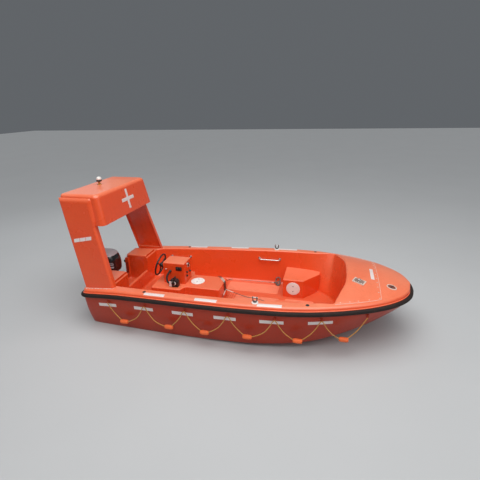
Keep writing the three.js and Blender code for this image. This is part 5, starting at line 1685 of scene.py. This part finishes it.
# Each leg's route from its sleeve on the link to its fitting: station, y and z in millimetres
WIRES = {
    "port_aft": [
        (1776, 146, 449.5), (1745, 186, 449.5), (1722, 214, 444), (1700, 242, 418), (1672, 270, 371),
        (1640, 300, 305), (1602, 330, 235), (1560, 357, 184), (1510, 380, 160), (1440, 405, 155.2),
        (1300, 440, 155.2), (1150, 470, 155.2), (1000, 495, 155.2), (850, 520, 156), (800, 528, 158.5),
    ],
    "port_forward": [
        (1788, 166, 449.5), (1770, 192, 449.5), (1754, 217, 445), (1739, 242, 420), (1727, 270, 379),
        (1718, 302, 320), (1712, 340, 255), (1708, 382, 200), (1706, 432, 165), (1704, 490, 155.5),
        (1706, 560, 155.2), (1716, 630, 155.2), (1745, 690, 155.2), (1810, 718, 155.2),
        (1950, 723, 155.2), (2150, 727, 155.2), (2330, 730, 155.2), (2440, 732, 156.5),
        (2480, 732, 158.5),
    ],
    "starboard_forward": [
        (1983, 118, 243), (2050, 140, 211), (2110, 154, 184), (2180, 162, 163), (2240, 160, 155.8),
        (2310, 155, 155.2), (2380, 140, 155.2), (2460, 105, 155.2), (2540, 50, 155.2),
        (2605, -30, 155.2), (2635, -130, 155.2), (2635, -230, 155.2), (2620, -320, 156),
        (2608, -370, 158.5),
    ],
    "starboard_aft": [
        (1876, -60, 280), (1879, -120, 272), (1876, -185, 262), (1862, -250, 245), (1835, -312, 215),
        (1792, -370, 182), (1735, -418, 162), (1660, -455, 155.5), (1560, -482, 155.2),
        (1400, -510, 155.2), (1200, -535, 155.2), (1000, -548, 155.2), (860, -553, 156),
        (800, -555, 158.5),
    ],
}

# Where each leg's sleeve starts on the link: station, y and z in millimetres
LINK_SLEEVES = {
    "port_aft": (1868, 28, 450), "port_forward": (1868, 64, 450),
    "starboard_forward": (1870, 84, 298), "starboard_aft": (1871, 66, 292),
}


def from_stations(rows):
    """Points in the frame of rows of station, y and z in millimetres."""
    return np.atleast_2d(np.array(rows, float)) / 1000 - np.array([MIDSHIP, 0, 0])


def oblong(centre, long, wide, reach, half, radius):
    """A closed ring of round bar: two half circles joined by straight sides."""
    plane = np.stack([unit(np.array(wide)), unit(np.array(long))])
    a = np.linspace(0, np.pi, 17)
    arc = np.stack([np.cos(a), np.sin(a)], -1)
    out = np.concatenate([arc, -arc])
    loop = half * out + np.repeat([1.0, -1.0], 17)[:, None] * (0, reach - half)
    b = turns(14)[:, None]
    spread = (out @ plane)[:, None] * np.cos(b) + np.cross(plane[1], plane[0]) * np.sin(b)
    return ring_body(centre + (loop @ plane)[:, None] + radius * spread)


def sleeve(start, end):
    """A pressed sleeve with tapered ends, between two points."""
    reach = float(np.linalg.norm(end - start))
    shares = [
        (0.7, 0), (1, 0.004), (0.94, 0.3 * reach), (1, 0.6 * reach), (1, reach - 0.004), (0.66, reach),
    ]
    return turned([(SLEEVE_RADIUS * share, height) for share, height in shares], start, end - start, 20)


def floor_shackle(tip, onward):
    """A shackle that lies flat past the end of a leg: its bow with two eyes, and its pin."""
    across = np.array([-onward[1], onward[0], 0])
    crown = tip + onward * SLEEVE_LENGTH
    a = np.linspace(0, np.pi, 15)
    bow = np.stack([0.02 - 0.02 * np.sin(a), -0.02 * np.cos(a)], -1)
    path = crown + np.array([(0.06, -0.02), *bow, (0.06, 0.02)]) @ np.stack([onward, across])
    shapes = [tube(path, 0.0068, 14, UP)]
    eye = [(0.006, 0.0), (0.0082, 0.001), (0.0082, 0.012), (0.006, 0.013)]
    for way, end in ((-across, path[0]), (across, path[-1])):
        shapes.append(turned(eye, end - way * 0.0065, way, 20))
    pin = [(0.0045, 0), (0.0055, 0.002), (0.0055, 0.058), (0.0083, 0.059), (0.0083, 0.066), (0.006, 0.068)]
    shapes.append(turned(pin, crown + onward * 0.06 - across * 0.034, across, 12))
    return merged(*shapes)


def build_bridle():
    """The legs as cords, the link with its sleeves, three floor shackles and the rings by the wall."""
    centre = from_stations((1868.8, 62, 374))[0]
    link = oblong(centre, (0, -0.2, 0.98), (0, 0.98, 0.2), 0.08, 0.024, 0.0066)
    make("bridle_link_ring", link, "dark steel", stands_for="bridle_link")
    for leg, rows in WIRES.items():
        points = from_stations(rows)
        onward = unit((points[-1] - points[-2]) * (1, 1, 0))
        start = from_stations(LINK_SLEEVES[leg])[0]
        tip = points[-1] + onward * SLEEVE_LENGTH
        sleeves = merged(sleeve(start, points[0]), sleeve(points[-1] + onward * GAP, tip))
        pieces = [make("bridle_sleeves_" + leg, sleeves, "sleeve")]
        if leg == "port_forward":
            pieces.append(build_wall_rings(tip))
        else:
            shape = floor_shackle(points[-1], onward)
            bow = make("bridle_bow_" + leg, shape, "dark steel", stands_for="bridle_shackle_" + leg)
            pieces.append(bow)
        tail = points[-1] + onward * SLEEVE_LENGTH * np.array([[0.5], [0.95]])
        points = np.concatenate([np.linspace(start, points[0], 5)[:-1], points, tail])
        build_cord(
            "bridle_cable_" + leg, points, WIRE_RADIUS, 480, 12, "wire", (0.31, 0.17, 0.93),
            stands_for="bridle_wire_" + leg, far_end="fitting", stiffness="medium", lay="loose",
            with_pieces=pieces,
        )


def build_wall_rings(sleeve_end):
    """The lifting rings that lean on the port wall, and the lug that joins them to their leg."""
    big = oblong(from_stations((2588, 711, 205))[0], (0, 0.687, 0.727), FORWARD, 0.062, 0.034, 0.008)
    small = oblong(from_stations((2600, 676, 176))[0], (0.1, 0.93, 0.35), FORWARD, 0.04, 0.024, 0.008)
    lug = sleeve(sleeve_end + (0.0005, 0, 0), from_stations((2578, 687, 180))[0])
    return make("bridle_ring_pair", merged(big, small, lug), "dark steel", stands_for="bridle_rings")


# Outboard motor

TILT_X, TILT_Z = 0.01, 0.365
BLADE_ROOT, BLADE_TIP = 0.03, 0.1385
PROPELLER_STATION = -0.3
STEER_STATION = -0.075
YOKE_TOP, YOKE_BOTTOM = 0.392, 0.062
LEG_TOP = 0.447
PLATE_Z, SHAFT_Z, SKEG_Z = -0.207, -0.385, -0.565


def build_clamp():
    """The clamp bracket: two hooked plates, the tilt pin with its nuts, and the lower bar."""
    outer, inner = at(TRANSOM_X), at(TRANSOM_X + TRANSOM_THICK)
    px = at(TILT_X)
    hook = [
        (outer - 0.055, 0.06), (outer - GAP, 0.06), (outer - GAP, TRANSOM_TOP + GAP),
        (inner + GAP, TRANSOM_TOP + GAP), (inner + GAP, 0.235), (inner + 0.022, 0.235),
        (inner + 0.022, TRANSOM_TOP + 0.022), (px + 0.028, TILT_Z + 0.026),
        (px - 0.028, TILT_Z + 0.026), (outer - 0.07, 0.3),
    ]
    radii = (0.012, 0.002, 0.002, 0.002, 0.003, 0.006, 0.014, 0.02, 0.02, 0.02)
    plates = both_sides(side_plate(hook, 0.112, 0.14, radii))
    pin = tube([[px, -0.165, TILT_Z], [px, 0.165, TILT_Z]], 0.013, 24, UP)
    bar = side_plate(rectangle(outer - 0.022, outer - GAP, 0.07, 0.13), -0.12, 0.12, 0.004)
    make("motor_clamp", merged(plates, pin, bar), "enamel", stands_for="clamp_bracket")
    nut = turned(
        [(0.019, 0), (0.019, 0.008), (0.013, 0.012), (0.013, 0.016)], (px, 0.1405, TILT_Z), PORT, 6,
    )
    make("motor_pin_nuts", both_sides(nut), "steel")


def build_swivel():
    """The swivel bracket: ears on the tilt pin and the steering tube behind them."""
    sx, px = at(STEER_STATION), at(TILT_X)
    arm = [
        (sx + 0.005, 0.25), (px - 0.034, TILT_Z - 0.06), (px - 0.02, TILT_Z - 0.028),
        (px + 0.024, TILT_Z - 0.016), (px + 0.024, TILT_Z + 0.02), (px - 0.02, TILT_Z + 0.024),
        (sx + 0.005, YOKE_TOP),
    ]
    ears = both_sides(side_plate(arm, 0.06, 0.1115, (0.004, 0.006, 0.006, 0.012, 0.012, 0.006, 0.002)))
    web = [
        (sx + 0.004, 0.25), (px - 0.041, TILT_Z - 0.055), (px - 0.041, TILT_Z + 0.012),
        (sx + 0.004, YOKE_TOP - 0.004),
    ]
    sleeve_profile = [
        (0.03, YOKE_BOTTOM), (0.034, YOKE_BOTTOM + 0.004), (0.034, 0.09), (0.031, 0.1), (0.031, 0.35),
        (0.034, 0.36), (0.034, YOKE_TOP),
    ]
    steering = turned(sleeve_profile, (sx, 0, 0), UP, 40)
    shape = merged(ears, side_plate(web, -0.0605, 0.0605, 0.004), steering)
    make("motor_swivel", shape, "enamel", body="tilt_bracket", stands_for="swivel_bracket")


# The leg above the shaft. Columns: height, front station, aft station, half breadth.
LEG_TABLE = np.array([
    [SHAFT_Z, -0.07, -0.285, 0.03], [PLATE_Z, -0.085, -0.3, 0.034], [0.04, -0.125, -0.3, 0.056],
    [LEG_TOP, -0.122, -0.33, 0.076],
])


def foil_ring(z, front, aft, half):
    """A section of the leg: round at the front, full amidships and drawn to a thin edge aft."""
    cosine, sine = np.cos(turns(40)), np.sin(turns(40))
    x = (front + aft) / 2 + (front - aft) / 2 * cosine
    fullness = np.where(cosine > 0, 0.72, 0.95)
    y = half * np.sign(sine) * np.abs(sine) ** fullness * (0.93 + 0.12 * cosine)
    return flat(np.stack([at(x), y], -1), z)


def build_midsection():
    """The leg with its yokes, the plate over the propeller, the gearcase and the skeg."""
    sx = at(STEER_STATION)
    high, low = YOKE_TOP + 0.0005, YOKE_BOTTOM - 0.0005
    top = block(rectangle(sx - 0.11, sx + 0.04, -0.062, 0.062), 0.02, high, LEG_TOP, 0.006)
    bottom = block(rectangle(sx - 0.11, sx + 0.032, -0.045, 0.045), 0.016, low - 0.034, low, 0.005)
    z = np.linspace(SHAFT_Z, LEG_TOP, 30)
    leg = loft([foil_ring(*level) for level in zip(z, *read_off(LEG_TABLE, z))])
    plan = [(at(-0.39), -0.045), (at(-0.33), -0.09), (at(-0.09), -0.08), (at(-0.025), -0.02)]
    plan = plan + [(x, -y) for x, y in plan[::-1]]
    radii = (0.012, 0.02, 0.03, 0.03, 0.03, 0.03, 0.02, 0.012)
    plate = block(plan, radii, PLATE_Z - 0.005, PLATE_Z + 0.005, 0.003, 0.003)
    nose = [
        (0.003, 0.001), (0.01, 0.004), (0.022, 0.016), (0.034, 0.042), (0.042, 0.08), (0.045, 0.12),
        (0.045, 0.24), (0.042, 0.3), (0.038, 0.33),
    ]
    case = turned(nose, (at(0.03), 0, SHAFT_Z), (-1, 0, 0), 40)
    fin = [(at(-0.09), SHAFT_Z), (at(-0.27), SHAFT_Z), (at(-0.265), SKEG_Z), (at(-0.19), SKEG_Z)]
    skeg = side_plate(fin, -0.006, 0.006, (0.003, 0.003, 0.012, 0.02), 0.0025)
    shape = merged(leg, top, bottom, plate, case, skeg)
    make("motor_leg_casting", shape, "enamel", body="outboard", stands_for="motor_leg")
    upper, lower = PLATE_Z - 0.004, PLATE_Z - 0.019
    tab = [(at(-0.315), upper), (at(-0.372), upper), (at(-0.372), lower), (at(-0.325), lower)]
    make("motor_anode", side_plate(tab, -0.01, 0.01, 0.005), "alloy", body="outboard")


# The cowl's lower pan and hood. Columns: height, front station, aft station, half breadth.
PAN_TABLE = np.array([
    [0.4473, -0.01, -0.335, 0.1], [0.456, 0.02, -0.352, 0.116], [0.49, 0.092, -0.398, 0.158],
    [0.515, 0.104, -0.413, 0.17], [0.5248, 0.104, -0.414, 0.171],
])
HOOD_TABLE = np.array([
    [0.5253, 0.11, -0.424, 0.18], [0.6, 0.113, -0.4295, 0.181], [0.685, 0.106, -0.428, 0.177],
    [0.745, 0.09, -0.408, 0.166], [0.79, 0.062, -0.374, 0.146], [0.815, 0.03, -0.335, 0.12],
    [0.828, -0.02, -0.28, 0.08],
])


def cowl_surface(table, a, z, lift=0.0):
    """A point by angle and height: a squared ellipse, narrower aft, lifted off its surface."""
    a, z = np.broadcast_arrays(a, z)
    front, aft, half = read_off(table, z)
    reach = (front - aft) / 2 + lift
    cosine, sine = np.cos(a), np.sin(a)
    way = np.sign(cosine) * np.abs(cosine) ** 0.62
    taper = 1 - 0.22 * np.clip(-way, 0, 1) ** 1.6
    y = (half + lift) * np.sign(sine) * np.abs(sine) ** 0.62 * taper
    return np.stack([at((front + aft) / 2) + reach * way, y, z + lift * 0.5], -1)


def build_cowl():
    """The lower pan, the hood, its grey cap and the slanting side stripes."""
    z = np.linspace(PAN_TABLE[0, 0], PAN_TABLE[-1, 0], 16)[:, None]
    pan = loft(cowl_surface(PAN_TABLE, turns(64), z))
    make("motor_pan", pan, "enamel", body="outboard", stands_for="cowl_pan")
    foot, head = HOOD_TABLE[0, 0], HOOD_TABLE[-1, 0]
    hood = loft(cowl_surface(HOOD_TABLE, turns(96), np.linspace(foot, head, 40)[:, None]))
    make("motor_hood", hood, "enamel", body="outboard", stands_for="cowl_top")
    z = np.linspace(0.776, head + 0.0002, 16)[:, None]
    make("motor_hood_cap", loft(cowl_surface(HOOD_TABLE, turns(96), z, 0.0022)), "stripe", body="outboard")
    stripes = []
    t, w = np.linspace(0, 1, 24)[:, None], np.linspace(0, 1, 4)
    for low, wide in ((0.585, 0.03), (0.635, 0.016), (0.665, 0.008)):
        height = low + 0.09 * t ** 1.4 + wide * w * (1 - 0.6 * t)
        faces = [cowl_surface(HOOD_TABLE, np.radians(28 + 104 * t), height, d) for d in (0.001, -0.0015)]
        stripes.append(slab(*faces))
    make("motor_stripes", both_sides(*stripes), "stripe", body="outboard")


# The propeller's blades. Columns: radius, half width, pitch in degrees.
BLADE_TABLE = np.array([
    [BLADE_ROOT, 0.036, 60], [0.07, 0.052, 42], [0.11, 0.054, 32], [BLADE_TIP, 0.016, 26],
])


def build_propeller():
    """The hub and three blades: each blade's sections turn and twist with their radius."""
    face = at(PROPELLER_STATION) - 0.0005
    hub = [(0.038, 0), (0.04, 0.006), (0.042, 0.06), (0.036, 0.095), (0.018, 0.109), (0.004, 0.11)]
    shapes = [turned(hub, (face, 0, SHAFT_Z), (-1, 0, 0), 40)]
    radius = np.linspace(BLADE_ROOT, BLADE_TIP, 16)[:, None]
    half, pitch = read_off(BLADE_TABLE, radius)
    pitch = np.radians(pitch)
    across = np.linspace(-1, 1, 13)
    back = across[::-1][1:-1]
    wide = half * np.concatenate([across, back])
    camber = np.concatenate([np.sqrt(1 - across ** 2), -0.25 * np.sqrt(1 - back ** 2)])
    thick = 0.0042 * (1 - 0.6 * (radius - BLADE_ROOT) / 0.11) * camber
    x = face - 0.055 + 0.8 * (wide * np.sin(pitch) + thick * np.cos(pitch))
    swing = np.clip((wide * np.cos(pitch) - thick * np.sin(pitch)) / radius, -0.95, 0.95)
    for blade in range(3):
        angle = 2 * math.pi * blade / 3 + swing + 1.2 * (radius - BLADE_ROOT)
        rings = np.stack([x, radius * np.cos(angle), SHAFT_Z + radius * np.sin(angle)], -1)
        shapes.append(loft(rings))
    make("motor_propeller", merged(*shapes), "alloy", body="propeller", stands_for="propeller")


# Stage

CAMERA_PLACE = (1.162, -4.873, 3.049)
CAMERA_YAW, CAMERA_PITCH, CAMERA_ROLL = 14.38, 16.56, 1.36
CAMERA_LENS = 27.95
CAMERA_SHIFT = (-0.002, -0.0542)


def build_camera():
    """The camera at the photograph's place, turned by yaw, pitch and roll."""
    yaw, pitch, roll = (math.radians(a) for a in (CAMERA_YAW, CAMERA_PITCH, CAMERA_ROLL))
    ahead = Vector((-math.sin(yaw) * math.cos(pitch), math.cos(yaw) * math.cos(pitch), -math.sin(pitch)))
    right = Vector((math.cos(yaw), math.sin(yaw), 0))
    down = ahead.cross(right)
    right, down = (
        math.cos(roll) * right + math.sin(roll) * down,
        -math.sin(roll) * right + math.cos(roll) * down,
    )
    camera = linked("camera", bpy.data.cameras.new("camera"))
    turn = Matrix((right, -down, -ahead)).transposed().to_4x4()
    camera.matrix_world = Matrix.Translation(CAMERA_PLACE) @ turn
    camera.data.lens = CAMERA_LENS
    camera.data.sensor_width = 36
    camera.data.shift_x, camera.data.shift_y = CAMERA_SHIFT
    camera.data.clip_end = 200
    bpy.context.scene.camera = camera


def add_light(name, kind, place, target, power, colour, **settings):
    """A soft light that looks from its place at a target."""
    data = bpy.data.lights.new(name, kind)
    data.energy, data.color = power, colour
    for key, value in settings.items():
        setattr(data, key, value)
    lamp = linked(name, data)
    lamp.location = place
    lamp.rotation_euler = (Vector(target) - Vector(place)).to_track_quat("-Z", "Y").to_euler()


def build_stage(stage):
    """The camera, a pale floor at the waterline, a pale sky and four soft lights."""
    build_camera()
    corners = flat(rectangle(-40, 40, -40, 40), 0.0)
    floor = mesh_object("floor", (corners, [(0, 1, 2, 3)]))
    material = bpy.data.materials.new("floor_paper")
    material.use_nodes = True
    tree = material.node_tree
    shade = object_place(tree).noise(0.6, 2)
    paper = shade.mix((*stage.floor, 1), (*(0.94 * c for c in stage.floor), 1))
    feed(tree, tree.nodes["Principled BSDF"].inputs["Base Color"], paper)
    feed(tree, tree.nodes["Principled BSDF"].inputs["Roughness"], 0.75)
    floor.data.materials.append(material)
    world = bpy.data.worlds.new("sky")
    world.use_nodes = True
    background = world.node_tree.nodes["Background"].inputs
    background["Color"].default_value = (0.8, 0.86, 0.93, 1)
    background["Strength"].default_value = stage.sky
    bpy.context.scene.world = world
    bpy.context.scene.view_settings.view_transform = "Standard"
    panel = (0.5, -1.5, 7.0), (0, 0, 0.3), stage.key, (1.0, 0.98, 0.96)
    fore = (7.0, -3.0, 4.5), (0.5, 0, 0.4), stage.fill, (1.0, 0.99, 0.97)
    aft = (-6.5, 3.5, 4.0), (-1, 0, 0.8), 0.5 * stage.fill, (0.95, 0.97, 1.0)
    overcast = (1.5, -4.2, 7.5), (0, 0, 0), stage.overhead, (1.0, 0.99, 0.98)
    add_light("sky_panel", "AREA", *panel, size=7.0)
    add_light("overcast", "SUN", *overcast, angle=math.radians(75))
    add_light("fore_light", "AREA", *fore, size=4.0)
    add_light("aft_light", "AREA", *aft, size=4.0)


# Settings

def a_length(name, description, default, least=0.01):
    """A length in metres, with the smallest value that it may take."""
    facts = {"name": name, "description": description, "default": default}
    return bpy.props.FloatProperty(**facts, min=least, unit="LENGTH")


def a_colour(name, description, *default):
    """A colour in linear values."""
    facts = {"name": name, "description": description, "default": default}
    return bpy.props.FloatVectorProperty(**facts, subtype="COLOR")


def a_strength(name, description, default):
    """The strength of a light."""
    facts = {"name": name, "description": description, "default": default}
    return bpy.props.FloatProperty(**facts, min=0)


class LifeboatSizes(bpy.types.PropertyGroup):
    """Sizes of the mouldings, the fender and the grab lines."""

    gunwale_width: a_length("Gunwale width", "How far the gunwale's rounding reaches inboard", 0.048)
    gunwale_drop: a_length("Gunwale drop", "How far the gunwale's rounding reaches down", 0.04)
    fender_height: a_length("Fender height", "Height of the rubber fender", 0.056)
    fender_depth: a_length("Fender depth", "How far the fender stands out from the joint", 0.045)
    rope_diameter: a_length("Rope diameter", "Diameter of the grab lines", 0.012, 0.004)
    float_diameter: a_length("Float diameter", "Diameter of the floats on the grab lines", 0.06, 0.02)
    float_length: a_length("Float length", "Length of the floats on the grab lines", 0.115, 0.02)


class LifeboatLooks(bpy.types.PropertyGroup):
    """Colours of the finishes, as linear values."""

    gelcoat: a_colour("Gelcoat", "Orange of the mouldings", 0.8, 0.083, 0.016)
    # The faded colour is partly sun fade and partly a painted highlight of tops in the sky's light.
    faded: a_colour("Faded gelcoat", "Chalky orange of sunlit tops", 0.93, 0.37, 0.21)
    # A darker copy of the gelcoat: painted shade of the hull's sides.
    topside: a_colour("Hull gelcoat", "Deeper orange of the hull's sides", 0.44, 0.036, 0.01)
    white: a_colour("White plastic", "Hatches, pads and lamp globe", 0.82, 0.8, 0.77)
    tape: a_colour("Tape", "Reflective tape", 0.8, 0.72, 0.7)
    rope: a_colour("Rope", "Grab line rope", 0.6, 0.27, 0.045)
    float_colour: a_colour("Floats", "Foam floats on the grab lines", 0.85, 0.13, 0.02)


class LifeboatStage(bpy.types.PropertyGroup):
    """Floor and lights."""

    floor: a_colour("Floor", "Colour of the pale floor", 0.52, 0.535, 0.545)
    sky: a_strength("Sky", "Strength of the sky's light", 0.15)
    overhead: a_strength("Overhead", "Strength of the even light from above", 1.5)
    key: a_strength("Key", "Power of the panel overhead", 370)
    fill: a_strength("Fill", "Power of the lights at the sides", 40)


# Operators

def step(build, *groups):
    """The execute of an operator: it calls a build function with groups of the scene's settings."""
    def execute(self, context):
        """Builds the piece and reports that it is done."""
        build(*(getattr(context.scene, "lifeboat_" + group) for group in groups))
        return {"FINISHED"}

    return execute


class LIFEBOAT_OT_finishes(bpy.types.Operator):
    """Make every finish of the boat"""

    bl_idname = "lifeboat.finishes"
    bl_label = "Finishes"
    execute = step(build_finishes, "looks")


class LIFEBOAT_OT_stage(bpy.types.Operator):
    """Set up the camera, the floor and the lights"""

    bl_idname = "lifeboat.stage"
    bl_label = "Stage"
    execute = step(build_stage, "stage")


class LIFEBOAT_OT_grab_lines(bpy.types.Operator):
    """Hang the ropes with their floats and eyes"""

    bl_idname = "lifeboat.grab_lines"
    bl_label = "Grab lines"
    execute = step(build_grab_lines, "sizes")


class LIFEBOAT_OT_bridle(bpy.types.Operator):
    """Lay the lifting bridle's wires, link and shackles"""

    bl_idname = "lifeboat.bridle"
    bl_label = "Lifting bridle"
    execute = step(build_bridle)


class LIFEBOAT_OT_hull(bpy.types.Operator):
    """Build the hull and deck mouldings"""

    bl_idname = "lifeboat.hull"
    bl_label = "Hull and deck"
    execute = step(build_hull, "sizes")


class LIFEBOAT_OT_fender(bpy.types.Operator):
    """Build the rubber fender"""

    bl_idname = "lifeboat.fender"
    bl_label = "Fender"
    execute = step(build_fender, "sizes")


class LIFEBOAT_OT_foredeck(bpy.types.Operator):
    """Build the foredeck panel, its seam and screws"""

    bl_idname = "lifeboat.foredeck"
    bl_label = "Foredeck panel"
    execute = step(build_foredeck, "sizes")


class LIFEBOAT_OT_fittings(bpy.types.Operator):
    """Build the mooring, oval and gunwale fittings"""

    bl_idname = "lifeboat.fittings"
    bl_label = "Deck fittings"
    execute = step(build_deck_fittings, "sizes")


class LIFEBOAT_OT_arch(bpy.types.Operator):
    """Build the stern arch"""

    bl_idname = "lifeboat.arch"
    bl_label = "Arch"
    execute = step(build_arch, "sizes")


class LIFEBOAT_OT_light(bpy.types.Operator):
    """Build the all-round light"""

    bl_idname = "lifeboat.light"
    bl_label = "Light"
    execute = step(build_light)


class LIFEBOAT_OT_seat_box(bpy.types.Operator):
    """Build the seat box"""

    bl_idname = "lifeboat.seat_box"
    bl_label = "Seat box"
    execute = step(build_seat_box)


class LIFEBOAT_OT_console(bpy.types.Operator):
    """Build the console, its gauge and switches"""

    bl_idname = "lifeboat.console"
    bl_label = "Console"
    execute = step(build_console)


class LIFEBOAT_OT_control_box(bpy.types.Operator):
    """Build the remote control and its lever"""

    bl_idname = "lifeboat.control_box"
    bl_label = "Control box"
    execute = step(build_control_box)


class LIFEBOAT_OT_hose(bpy.types.Operator):
    """Build the control cable's hose"""

    bl_idname = "lifeboat.hose"
    bl_label = "Hose"
    execute = step(build_hose)


class LIFEBOAT_OT_helm(bpy.types.Operator):
    """Build the steering wheel and its boss"""

    bl_idname = "lifeboat.helm"
    bl_label = "Helm"
    execute = step(build_helm)


class LIFEBOAT_OT_lockers(bpy.types.Operator):
    """Build the forward lockers"""

    bl_idname = "lifeboat.lockers"
    bl_label = "Lockers"
    execute = step(build_lockers, "sizes")


class LIFEBOAT_OT_hatches(bpy.types.Operator):
    """Build the round hatches"""

    bl_idname = "lifeboat.hatches"
    bl_label = "Hatches"
    execute = step(build_hatches)


class LIFEBOAT_OT_handrails(bpy.types.Operator):
    """Build the handrails"""

    bl_idname = "lifeboat.handrails"
    bl_label = "Handrails"
    execute = step(build_handrails)


class LIFEBOAT_OT_lifting_eyes(bpy.types.Operator):
    """Build the lifting pads, shackles and pins"""

    bl_idname = "lifeboat.lifting_eyes"
    bl_label = "Lifting eyes"
    execute = step(build_lifting_eyes)


class LIFEBOAT_OT_tapes(bpy.types.Operator):
    """Lay the reflective tapes"""

    bl_idname = "lifeboat.tapes"
    bl_label = "Tapes"
    execute = step(build_tapes, "sizes")


class LIFEBOAT_OT_floor_panels(bpy.types.Operator):
    """Lay the gritty panels on the cockpit floor"""

    bl_idname = "lifeboat.floor_panels"
    bl_label = "Floor panels"
    execute = step(build_floor)


class LIFEBOAT_OT_clamp(bpy.types.Operator):
    """Build the motor's clamp bracket"""

    bl_idname = "lifeboat.clamp"
    bl_label = "Clamp"
    execute = step(build_clamp)


class LIFEBOAT_OT_swivel(bpy.types.Operator):
    """Build the motor's swivel bracket"""

    bl_idname = "lifeboat.swivel"
    bl_label = "Swivel"
    execute = step(build_swivel)


class LIFEBOAT_OT_midsection(bpy.types.Operator):
    """Build the motor's leg"""

    bl_idname = "lifeboat.midsection"
    bl_label = "Midsection"
    execute = step(build_midsection)


class LIFEBOAT_OT_cowl(bpy.types.Operator):
    """Build the motor's cowl"""

    bl_idname = "lifeboat.cowl"
    bl_label = "Cowl"
    execute = step(build_cowl)


class LIFEBOAT_OT_propeller(bpy.types.Operator):
    """Build the propeller"""

    bl_idname = "lifeboat.propeller"
    bl_label = "Propeller"
    execute = step(build_propeller)


OPERATORS = [
    LIFEBOAT_OT_finishes, LIFEBOAT_OT_stage, LIFEBOAT_OT_grab_lines, LIFEBOAT_OT_bridle,
    LIFEBOAT_OT_hull, LIFEBOAT_OT_fender, LIFEBOAT_OT_foredeck, LIFEBOAT_OT_fittings, LIFEBOAT_OT_arch,
    LIFEBOAT_OT_light, LIFEBOAT_OT_seat_box, LIFEBOAT_OT_console, LIFEBOAT_OT_control_box,
    LIFEBOAT_OT_hose, LIFEBOAT_OT_helm, LIFEBOAT_OT_lockers, LIFEBOAT_OT_hatches, LIFEBOAT_OT_handrails,
    LIFEBOAT_OT_lifting_eyes, LIFEBOAT_OT_tapes, LIFEBOAT_OT_floor_panels, LIFEBOAT_OT_clamp,
    LIFEBOAT_OT_swivel, LIFEBOAT_OT_midsection, LIFEBOAT_OT_cowl, LIFEBOAT_OT_propeller,
]


class LIFEBOAT_PT_panel(bpy.types.Panel):
    """Lists the lifeboat's settings and operators."""

    bl_label = "Lifeboat"
    bl_space_type = "VIEW_3D"
    bl_region_type = "UI"
    bl_category = "Lifeboat"

    def draw(self, context):
        """Draws every setting, then every operator."""
        for group in (
            context.scene.lifeboat_sizes, context.scene.lifeboat_looks, context.scene.lifeboat_stage,
        ):
            for key in group.__annotations__:
                self.layout.prop(group, key)
        for kind in OPERATORS:
            self.layout.operator(kind.bl_idname)


CLASSES = [LifeboatSizes, LifeboatLooks, LifeboatStage, *OPERATORS, LIFEBOAT_PT_panel]


def register():
    """Adds the classes and the scene's settings."""
    for kind in CLASSES:
        bpy.utils.register_class(kind)
    bpy.types.Scene.lifeboat_sizes = bpy.props.PointerProperty(type=LifeboatSizes)
    bpy.types.Scene.lifeboat_looks = bpy.props.PointerProperty(type=LifeboatLooks)
    bpy.types.Scene.lifeboat_stage = bpy.props.PointerProperty(type=LifeboatStage)


def unregister():
    """Takes the classes and settings out again."""
    del bpy.types.Scene.lifeboat_sizes
    del bpy.types.Scene.lifeboat_looks
    del bpy.types.Scene.lifeboat_stage
    for kind in reversed(CLASSES):
        bpy.utils.unregister_class(kind)


def main():
    """Builds everything in order."""
    register()
    for kind in OPERATORS:
        group, name = kind.bl_idname.split(".")
        getattr(getattr(bpy.ops, group), name)()


if __name__ == "__main__":
    main()
